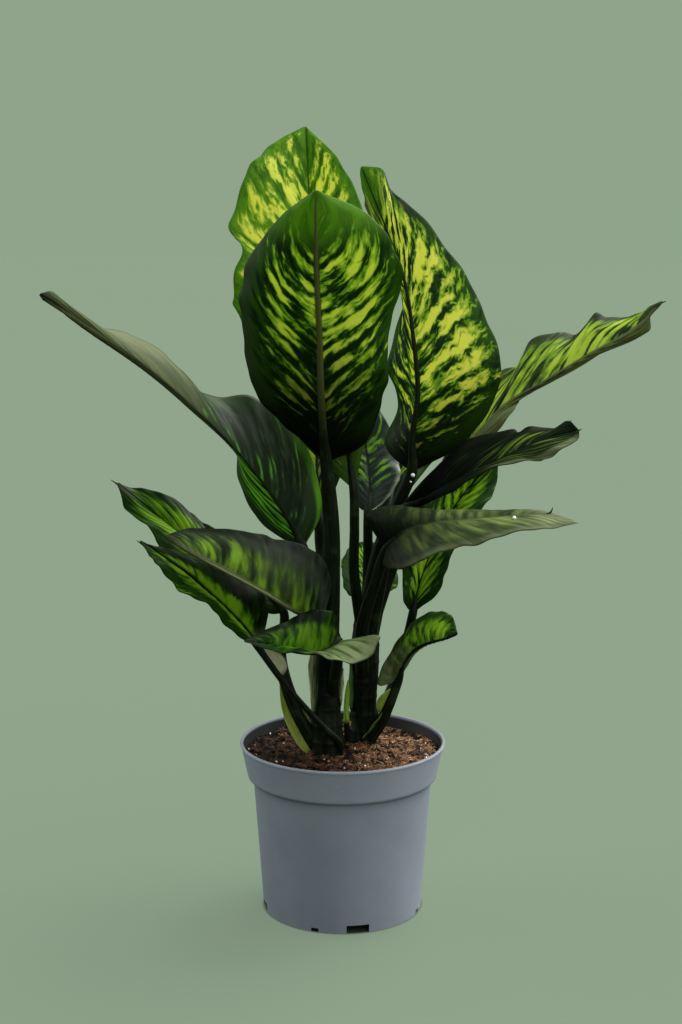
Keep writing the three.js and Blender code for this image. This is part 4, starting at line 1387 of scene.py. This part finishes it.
leafLooks = {
    "leaf_front_tall": {
        "kind": "bright", "marks": (0.68, 0.66), "margins": (0.98, 0.84), "stretch": (0.1, 0.86),
        "streak": 2.1, "paintedFootShade": (0.1, 0.56, 0.99), "rib": 1.7, "ribWidth": 1.5, "lined": 0.45,
        "ribs": (0.050, 0.062, 0.014, 1), "yellow": (0.60, 0.68, 0.075, 1),
        # painted sheen along the left edge
        "patches": [("fresh", 0, 0, 0.8, 1.1, 1.0), ("paintedSheenAndShade", 1, 0.86, 0.3, 0.72, 0.6)],
    },
    "leaf_back_tall": {
        "kind": "bright", "marks": (0.79, 0.8), "margins": (1.1, 1.05), "stretch": (0.05, 0.95),
        "streak": 2.0, "lined": 0.5, "fineness": 1.35, "yellow": (0.78, 0.80, 0.14, 1),
        "paintedFootShade": (0.0, 0.35, 0.7), "green": (0.130, 0.330, 0.020, 1), "dark": (0.062, 0.175, 0.010, 1),
        "ribs": (0.080, 0.170, 0.018, 1),
    },
    "leaf_right_tall": {
        "kind": "bright", "marks": (0.76, 0.64), "margins": (1.06, 0.9), "stretch": (0.04, 0.98),
        "streak": 1.8, "lined": 0.45, "fineness": 1.5, "ribs": (0.004, 0.010, 0.002, 1),
        "paintedFootShade": (0.02, 0.36, 0.98), "rib": 1.3,
        "patches": [
            ("fresh", 0, 0, 0.86, 1.1, 0.95), ("paleAndPaintedSheen", 1, 0.25, 0.74, 0.88, 0.5),
            # painted shade on the turned margin
            ("paintedSheenAndShade", -1, 0.9, 0.6, 0.84, 0.95),
        ],
    },
    "leaf_left_long": {
        "kind": "grey", "marks": (0.78, 0.13), "margins": (0.9, 0.8), "stretch": (0.03, 0.46),
        "streak": 1.4, "paintedFootShade": (0.0, 0.1, 0.3), "rib": 0.6, "ribTip": patchColours["olive"],
        "coat": 0.09, "soft": 0.1, "lined": 0.55, "lime": (0.065, 0.25, 0.016, 1),
        "yellow": (0.20, 0.50, 0.040, 1), "green": (0.030, 0.062, 0.020, 1),
        "dark": (0.008, 0.022, 0.006, 1),
        "patches": [
            ("olive", 0, 0, 0.5, 0.95, 0.9), ("paleAndPaintedSheen", 1, 0.6, 0.45, 0.88, 0.3),
            ("limeEdge", 1, 0.84, -0.2, 0.19, 1.0), ("paintedSheenAndShade", -1, 0.5, 0.36, 0.52, 0.8),
            ("blackAndPaintedShadow", 0, 0, 0.95, 1.2, 1.0),
        ],
    },
    "leaf_left_upper": {
        "kind": "deep", "marks": (0.95, 1.0), "margins": (0.8, 0.8), "stretch": (0.1, 0.85),
        "streak": 1.4, "paintedFootShade": (0.0, 0.3, 0.6), "soft": 0.22, "lined": 0.15, "fineness": 0.7,
        "lime": (0.075, 0.20, 0.006, 1),
        "patches": [("blackAndPaintedShadow", 1, 0.86, 0.0, 0.9, 0.8), ("paintedSheenAndShade", 0, 0, 0.88, 1.1, 0.8)],
    },
    "leaf_left_front": {
        "kind": "grey", "marks": (0.85, 0.62), "margins": (1.1, 0.82), "stretch": (-0.1, 0.95),
        "streak": 1.5, "paintedFootShade": (0.0, 0.1, 0.3), "coat": 0.07, "soft": 0.28, "lined": 0.1,
        "fineness": 0.5, "lime": (0.085, 0.17, 0.015, 1), "yellow": (0.23, 0.40, 0.030, 1),
        "ribs": (0.15, 0.18, 0.08, 1), "ribWidth": 2.2,
        "patches": [
            # painted sheen on the upper side
            ("paintedSheenAndShade", 1, 0.55, 0.0, 0.6, 0.8), ("paintedSheenAndShade", 1, 0.2, 0.25, 0.5, 0.75),
            ("blackAndPaintedShadow", 1, 0.84, 0.1, 1.0, 0.85), ("paleAndPaintedSheen", -1, 0.9, 0.15, 0.95, 0.7),
            ("blackAndPaintedShadow", 0, 0, 0.93, 1.1, 0.8),
        ],
    },
    "leaf_left_low": {
        "kind": "deep", "marks": (1.0, 0.95), "margins": (0.72, 0.5), "stretch": (-0.1, 0.92),
        "streak": 1.3, "lime": (0.070, 0.20, 0.005, 1), "yellow": (0.20, 0.38, 0.012, 1),
        "paintedFootShade": (0.0, 0.2, 0.2), "soft": 0.14, "lined": 0.15, "gloss": 0.04, "coat": 0.0,
        "ribWidth": 2.0, "fineness": 0.8,
        "patches": [
            # painted shadow of the leaf above across the upper half
            ("blackAndPaintedShadow", 1, 0.42, 0.0, 1.0, 0.95), ("paleAndPaintedSheen", 0, 0, -0.1, 0.09, 0.9),
            ("paintedSheenAndShade", 0, 0, 0.95, 1.1, 0.6),
        ],
    },
    "leaf_front_low": {
        "kind": "deep", "marks": (0.5, 0.75), "margins": (0.9, 0.85), "stretch": (-0.1, 0.8),
        "streak": 1.1, "paintedFootShade": (0.0, 0.2, 0.2), "soft": 0.3, "lined": 0.1, "fineness": 0.7,
        "lime": (0.050, 0.155, 0.004, 1), "yellow": (0.120, 0.27, 0.010, 1),
        "patches": [
            # painted sheen on the near half
            ("creamAndPaintedSheen", -1, 0.25, -0.1, 0.55, 0.95), ("blackAndPaintedShadow", 1, 0.72, 0.0, 1.0, 1.0),
            ("paintedSheenAndShade", 0, 0, 0.85, 1.1, 0.6),
        ],
    },
    "leaf_right_long": {
        "kind": "grey", "marks": (0.72, 0.4), "margins": (0.98, 0.9), "stretch": (0.0, 0.92),
        "streak": 1.5, "paintedFootShade": (0.0, 0.12, 0.3), "coat": 0.04, "rib": 0.5,
        "ribTip": patchColours["olive"], "soft": 0.1, "fineness": 0.8, "lime": (0.17, 0.31, 0.020, 1),
        "yellow": (0.42, 0.56, 0.050, 1), "ribs": (0.15, 0.19, 0.08, 1),
        "green": (0.040, 0.085, 0.016, 1),
        "patches": [
            ("olive", 1, 0.1, 0.0, 0.95, 0.9), ("blackAndPaintedShadow", -1, 0.86, 0.25, 0.8, 0.7),
            ("blackAndPaintedShadow", 0, 0, 0.93, 1.1, 0.6),
        ],
    },
    "leaf_right_middle": {
        "kind": "grey", "marks": (0.3, 0.4), "margins": (0.85, 0.85), "stretch": (0.2, 0.9),
        "streak": 0.9, "paintedFootShade": (0.1, 0.72, 0.98), "coat": 0.03, "soft": 0.12,
        "patches": [
            # painted sheen below the rib and painted shade on the lower half
            ("paleAndPaintedSheen", 1, 0.76, 0.4, 0.95, 0.7), ("blackAndPaintedShadow", -1, 0.6, 0.2, 1.0, 0.9),
            ("blackAndPaintedShadow", 0, 0, 0.93, 1.1, 0.9),
        ],
    },
    "leaf_right_front": {
        "kind": "grey", "marks": (0.42, 0.66), "margins": (1.0, 1.0), "stretch": (0.1, 0.9),
        "streak": 1.2, "paintedFootShade": (0.05, 0.6, 0.9), "coat": 0.06, "soft": 0.32, "lined": 0.08,
        "fineness": 0.55, "rib": 0.4, "ribs": (0.105, 0.145, 0.055, 1),
        "dark": (0.030, 0.050, 0.020, 1), "green": (0.055, 0.082, 0.032, 1),
        "lime": (0.120, 0.180, 0.050, 1), "yellow": (0.19, 0.26, 0.070, 1),
        "patches": [("paleAndPaintedSheen", 0, 0, 0.8, 1.1, 0.6), ("paleAndPaintedSheen", 1, 0.9, 0.2, 0.9, 0.7)],
    },
    "leaf_right_back": {
        "kind": "deep", "marks": (0.8, 0.8), "margins": (0.8, 0.8), "stretch": (0.02, 0.9),
        "streak": 2.0, "paintedFootShade": (0.0, 0.2, 0.5), "lime": (0.105, 0.270, 0.008, 1),
        "yellow": (0.29, 0.47, 0.020, 1), "soft": 0.2, "fineness": 0.8,
    },
    "leaf_right_low": {
        "kind": "deep", "marks": (0.78, 0.7), "margins": (0.85, 0.85), "stretch": (0.2, 0.9),
        "streak": 1.4, "lime": (0.085, 0.24, 0.006, 1), "yellow": (0.22, 0.42, 0.014, 1),
        "paintedFootShade": (0.0, 0.2, 0.2), "soft": 0.24, "lined": 0.1, "fineness": 0.8,
        # painted sheen at the foot of the lower half
        "patches": [("olive", 0, 0, -0.1, 0.4, 0.7), ("paleAndPaintedSheen", -1, 0.5, -0.1, 0.35, 0.8)],
    },
    "leaf_centre_back": {
        "kind": "grey", "marks": (0.5, 0.5), "margins": (0.85, 0.85), "stretch": (0.1, 0.9),
        "streak": 1.5, "paintedFootShade": (0.0, 0.35, 0.4), "coat": 0.25, "soft": 0.08, "fineness": 0.6,
        "green": (0.035, 0.058, 0.040, 1), "dark": (0.020, 0.038, 0.024, 1),
        "lime": (0.10, 0.25, 0.025, 1), "yellow": (0.24, 0.44, 0.04, 1),
        "patches": [("rimLight", 1, 0.93, 0.0, 0.45, 1.0)],
    },
    "leaf_rear_low": {
        "kind": "deep", "marks": (0.65, 0.65), "margins": (0.85, 0.85), "stretch": (0.1, 0.85),
        "streak": 2.0, "paintedFootShade": (0.0, 0.3, 0.7), "gloss": 0.02, "coat": 0.0, "soft": 0.12,
    },
    "leaf_rear_left": rearLook,
    "leaf_rear_right": rearLook,
}

# painted shade: the near black of a blade's foot
paintedShadeBlack = (0.0008, 0.0015, 0.0006, 1)

# the pale patches let the side veins through: how much of a patch is left on a vein
striped = {"paleAndPaintedSheen": 0.5, "creamAndPaintedSheen": 0.2}


# a soft-edged patch of one side of the blade or of both
def patchMask(tree, across, length, patch):
    side, outFrom, low, high, strength = patch[1:]
    mask = strength
    if outFrom > 0:
        out = calc(tree, "MULTIPLY", across, side) if side else calc(tree, "ABSOLUTE", across)
        mask = calc(tree, "MULTIPLY", ramp(tree, out, outFrom - 0.1, outFrom + 0.06), strength)
    mask = calc(tree, "MULTIPLY", mask, ramp(tree, length, low - 0.06, low + 0.06))
    return calc(tree, "MULTIPLY", mask, ramp(tree, length, high - 0.06, high + 0.06, 1.0, 0.0))


def leafMaterial(name, look, seed):
    made, tree = newMaterial(name + "_skin")
    colours = {**leafColours[look["kind"]], **look}
    place = attributePlace(tree, "leafPlace")
    across, length = addNode(tree, "SeparateXYZ", {0: place}).outputs[0:2]
    inputs = {
        "Place": place,
        "Left": look["marks"][0],
        "Right": look["marks"][1],
        "Left margin": look["margins"][0],
        "Right margin": look["margins"][1],
        "Begin": look["stretch"][0],
        "End": look["stretch"][1],
        "Streak": look["streak"],
        "Lined": look.get("lined", 0.35),
        "Fineness": look.get("fineness", 1.0),
        "Seed": seed,
    }
    marks = useGroup(tree, leafMarks, inputs).outputs
    soft = look.get("soft", 0.05)
    # painted shade: the foot of the blade is painted dark, to near black, and the marks sink into it
    footShadeFrom, footShadeTo, footShadeDepth = look["paintedFootShade"]
    paintedFootShade = ramp(tree, length, footShadeFrom, footShadeTo, footShadeDepth, 0.0)
    level = calc(tree, "MULTIPLY_ADD", paintedFootShade, -0.45, marks["Level"])
    uneven = calc(tree, "MULTIPLY", calc(tree, "SUBTRACT", marks["Tone"], 0.5), 1.6)
    inside = ramp(tree, calc(tree, "ADD", marks["Inner"], uneven), 0.0, 0.9)
    colour = mixColour(tree, inside, colours["green"], colours["dark"])
    colour = mixColour(tree, ramp(tree, level, -0.3 - soft, 0.0, 0.0, 0.8), colour, colours["green"])
    colour = mixColour(tree, ramp(tree, level, -soft, 0.08 + soft), colour, colours["lime"])
    bright = calc(tree, "MULTIPLY_ADD", uneven, 0.4, level)
    colour = mixColour(tree, ramp(tree, bright, 0.06, 0.42 + soft), colour, colours["yellow"])
    fromRib = addNode(tree, "SeparateXYZ", {0: attributePlace(tree, "ribPlace")}).outputs[0]
    ribWidth = look.get("ribWidth", 1.0)
    nearRib = ramp(tree, calc(tree, "ABSOLUTE", fromRib), ribWidth, ribWidth * 2.6, 1.0, 0.0)
    colour = mixColour(tree, nearRib, colour, colours["ribs"])
    broken = ramp(tree, marks["Tone"], 0.36, 0.6, 0.5, 1.0)
    for patch in look.get("patches", []):
        mask = calc(tree, "MULTIPLY", patchMask(tree, across, length, patch), broken)
        if patch[0] in striped:
            lines = ramp(tree, marks["Veins"], 0.1, 0.9, 1.0, striped[patch[0]])
            mask = calc(tree, "MULTIPLY", mask, lines)
        colour = mixColour(tree, mask, colour, patchColours[patch[0]])
    colour = mixColour(tree, calc(tree, "MULTIPLY", marks["Rim"], 0.5), colour, colours["dark"])
    # painted shade at the foot of the blade
    colour = mixColour(tree, paintedFootShade, colour, paintedShadeBlack)
    rough = ramp(tree, marks["Tone"], 0.3, 0.7, 0.4, 0.55)
    shader = principled(tree, colour, rough, look.get("gloss", 0.08), marks["Height"], 0.3, 0.0008)
    shader.inputs["Coat Roughness"].default_value = 0.4
    coat = look.get("coat", 0.04)
    tree.links.new(calc(tree, "MULTIPLY_ADD", paintedFootShade, -coat, coat), shader.inputs["Coat Weight"])
    clear = mixColour(tree, 1.0, colour, (1.25, 1.3, 0.9, 1), "MULTIPLY")
    showThin(tree, shader, clear, 0.42)
    return made


def makeLeaf(name, shape, look, seed):
    blade = makeBlade(name, shape)
    blade.data.materials.append(leafMaterial(name, look, seed))
    stalk = makeStalk(name, shape, look.get("rib", 1))
    ribs = look.get("ribs", leafColours[look["kind"]]["ribs"])
    ribTip = look.get("ribTip")
    skin = stalkMaterial(name + "_stalkSkin", stalkLook, 0.25, 60.0, ribs, ribTip, ribStart(shape))
    stalk.data.materials.append(skin)
    selectOnly(blade, stalk)
    bpy.ops.object.join()
    leaf = bpy.context.object
    leaf.name = name + "_fine"
    leaf.data.name = leaf.name
    bpy.ops.object.shade_smooth()
    finishPiece(leaf, "leaf", name)


for count, (name, shape) in enumerate(leafShapes.items()):
    makeLeaf(name, shape, leafLooks[name], count * 1.7)
print("stage: seventeen leaves")

sheathSkins = {key: sheathMaterial(key + "Sheath", *look) for key, look in sheathLooks.items()}
for count, wing in enumerate(wings):
    makeWing(count, wing)
for count, shell in enumerate(shells):
    makeShell(count, shell)
print("stage: sheaths on stalks and canes")

# the small dry hooks that some leaves end in, from foot to point in mm
hooks = [
    [(219, -56, 504), (220, -54, 509), (221, -52, 516)],
    [(222, -72, 503), (225, -73, 507), (229, -75, 510)],
    [(193, -98, 430), (198, -97, 433), (200, -97, 438)],
    [(-186, -78, 392), (-192, -78, 397), (-199, -78, 402)],
    [(-231, 84, 426), (-237, 84, 430), (-243, 84, 434)],
    [(318, 62, 616), (325, 62, 620), (330, 62, 622)],
]

# drops of sap, painted near white as their glint: place in mm and radius
drops = [((162, -111, 430), 1.9), ((70, -15, 455), 2.1), ((68, -13, 448), 1.1)]


def hookRadius(v, turn):
    return (1.7 - 1.45 * v) * mm


def sapGlintMaterial():
    made, tree = newMaterial("sap")
    cloudy = mottled(tree, 300.0, 900.0)
    # painted glint: the drops are painted near white
    colour = mixColour(tree, cloudy["Clouds"], (0.62, 0.68, 0.60, 1), (0.88, 0.90, 0.86, 1))
    shader = principled(tree, colour, 0.12, 0.5, cloudy["Height"], 0.05, 0.0002)
    showShader(tree, shader.outputs[0])
    return made


hookLook = {
    "dark": (0.006, 0.012, 0.004, 1),
    "green": (0.030, 0.045, 0.016, 1),
    "pale": (0.10, 0.12, 0.05, 1),
}
hookSkin = stalkMaterial("hookSkin", hookLook, 0.4, 200.0)
for count, path in enumerate(hooks):
    hook = makeTube("leaf_hook_" + str(count), toMetres(path), hookRadius, 8, 16, length=0.01)
    hook.data.materials.append(hookSkin)
    finishPiece(hook, "leaf")

sapGlintSkin = sapGlintMaterial()
for count, (spot, radius) in enumerate(drops):
    drop = addPrimitive(bpy.ops.mesh.primitive_ico_sphere_add, subdivisions=3, radius=radius * mm)
    drop.name = "sap_drop_" + str(count)
    drop.data.transform(Matrix.Translation(Vector(spot) * mm))
    bpy.ops.object.shade_smooth()
    drop.data.materials.append(sapGlintSkin)
    finishPiece(drop, "leaf")
print("stage: hooks and drops")


studio = {
    "sage": (0.279, 0.371, 0.262, 1),
    "paper": (0.043, 0.057, 0.041, 1),
    "ownGlow": 0.6,
    "floorSize": 30.0,
    "air": 0.22,
}


# The floor shows its own even tint to the camera, so that the plant's shadow on it stays faint.
def makeFloor():
    floor = addPrimitive(bpy.ops.mesh.primitive_plane_add, size=studio["floorSize"])
    floor.name = "floor"
    made, tree = newMaterial("sagePaper")
    tint = grain(tree, objectPlace(tree), 0.4, 2.0)
    darker = [part * 0.97 for part in studio["paper"]]
    colour = mixColour(tree, ramp(tree, tint, 0.3, 0.7), studio["paper"], darker)
    shader = principled(tree, colour, 0.95, 0.0)
    shader.inputs["Emission Color"].default_value = studio["sage"]
    seen = addNode(tree, "LightPath").outputs["Is Camera Ray"]
    # painted shadow: no glow under the pot, and a thin dark line painted round its foot
    foot = potShape["footRadius"]
    fromMiddle = addNode(tree, "VectorMath", {0: objectPlace(tree)}, operation="LENGTH").outputs["Value"]
    glowBesidePaintedShadow = ramp(tree, fromMiddle, foot - 2.7 * mm, foot + 3.3 * mm, 0.0, studio["ownGlow"])
    tree.links.new(calc(tree, "MULTIPLY", seen, glowBesidePaintedShadow), shader.inputs["Emission Strength"])
    showShader(tree, shader.outputs[0])
    floor.data.materials.append(made)


# from says where the light comes from, wide how soft it is
lamps = {
    "right": {"from": (1.0, 0.35, 1.0), "wide": 60, "strength": 3.8, "tint": (1, 0.99, 0.96)},
    "topBack": {"from": (0.7, 0.9, 1.5), "wide": 50, "strength": 4.0, "tint": (1, 0.99, 0.96)},
    "left": {"from": (-1.0, 0.35, 0.7), "wide": 60, "strength": 2.4, "tint": (0.97, 0.99, 1)},
    "front": {"from": (0.5, -1.0, 0.9), "wide": 70, "strength": 1.9, "tint": (1, 1, 1)},
}


def makeLamps():
    for name, lamp in lamps.items():
        data = bpy.data.lights.new(name, "SUN")
        data.angle = math.radians(lamp["wide"])
        data.energy = lamp["strength"]
        data.color = lamp["tint"]
        light = bpy.data.objects.new(name, data)
        light.location = Vector(lamp["from"]) * 2
        light.rotation_euler = Vector(lamp["from"]).to_track_quat("Z", "Y").to_euler()
        bpy.context.collection.objects.link(light)


# The air looks like the floor to the camera and lights the plant only a little.
def makeAir():
    world = bpy.data.worlds.new("studioAir")
    world.use_nodes = True
    tree = world.node_tree
    air = tree.nodes["Background"]
    air.inputs["Color"].default_value = studio["sage"]
    seen = addNode(tree, "LightPath").outputs["Is Camera Ray"]
    strength = ramp(tree, seen, 0.0, 1.0, studio["air"], 1.0)
    tree.links.new(strength, air.inputs["Strength"])
    bpy.context.scene.world = world


# fitted to the photograph: place in metres, tilt in degrees, lens and sensor in mm
view = {"place": (-0.0014, -1.8, 0.749), "tilt": 79.49, "lens": 64.05, "sensor": 36}


def makeCamera():
    data = bpy.data.cameras.new("camera")
    data.sensor_width = view["sensor"]
    data.lens = view["lens"]
    camera = bpy.data.objects.new("camera", data)
    camera.location = view["place"]
    camera.rotation_euler = (math.radians(view["tilt"]), 0, 0)
    bpy.context.collection.objects.link(camera)
    bpy.context.scene.camera = camera


makeFloor()
makeLamps()
makeAir()
makeCamera()
bpy.context.scene.view_settings.view_transform = "Standard"
print("stage: floor, lamps and camera")
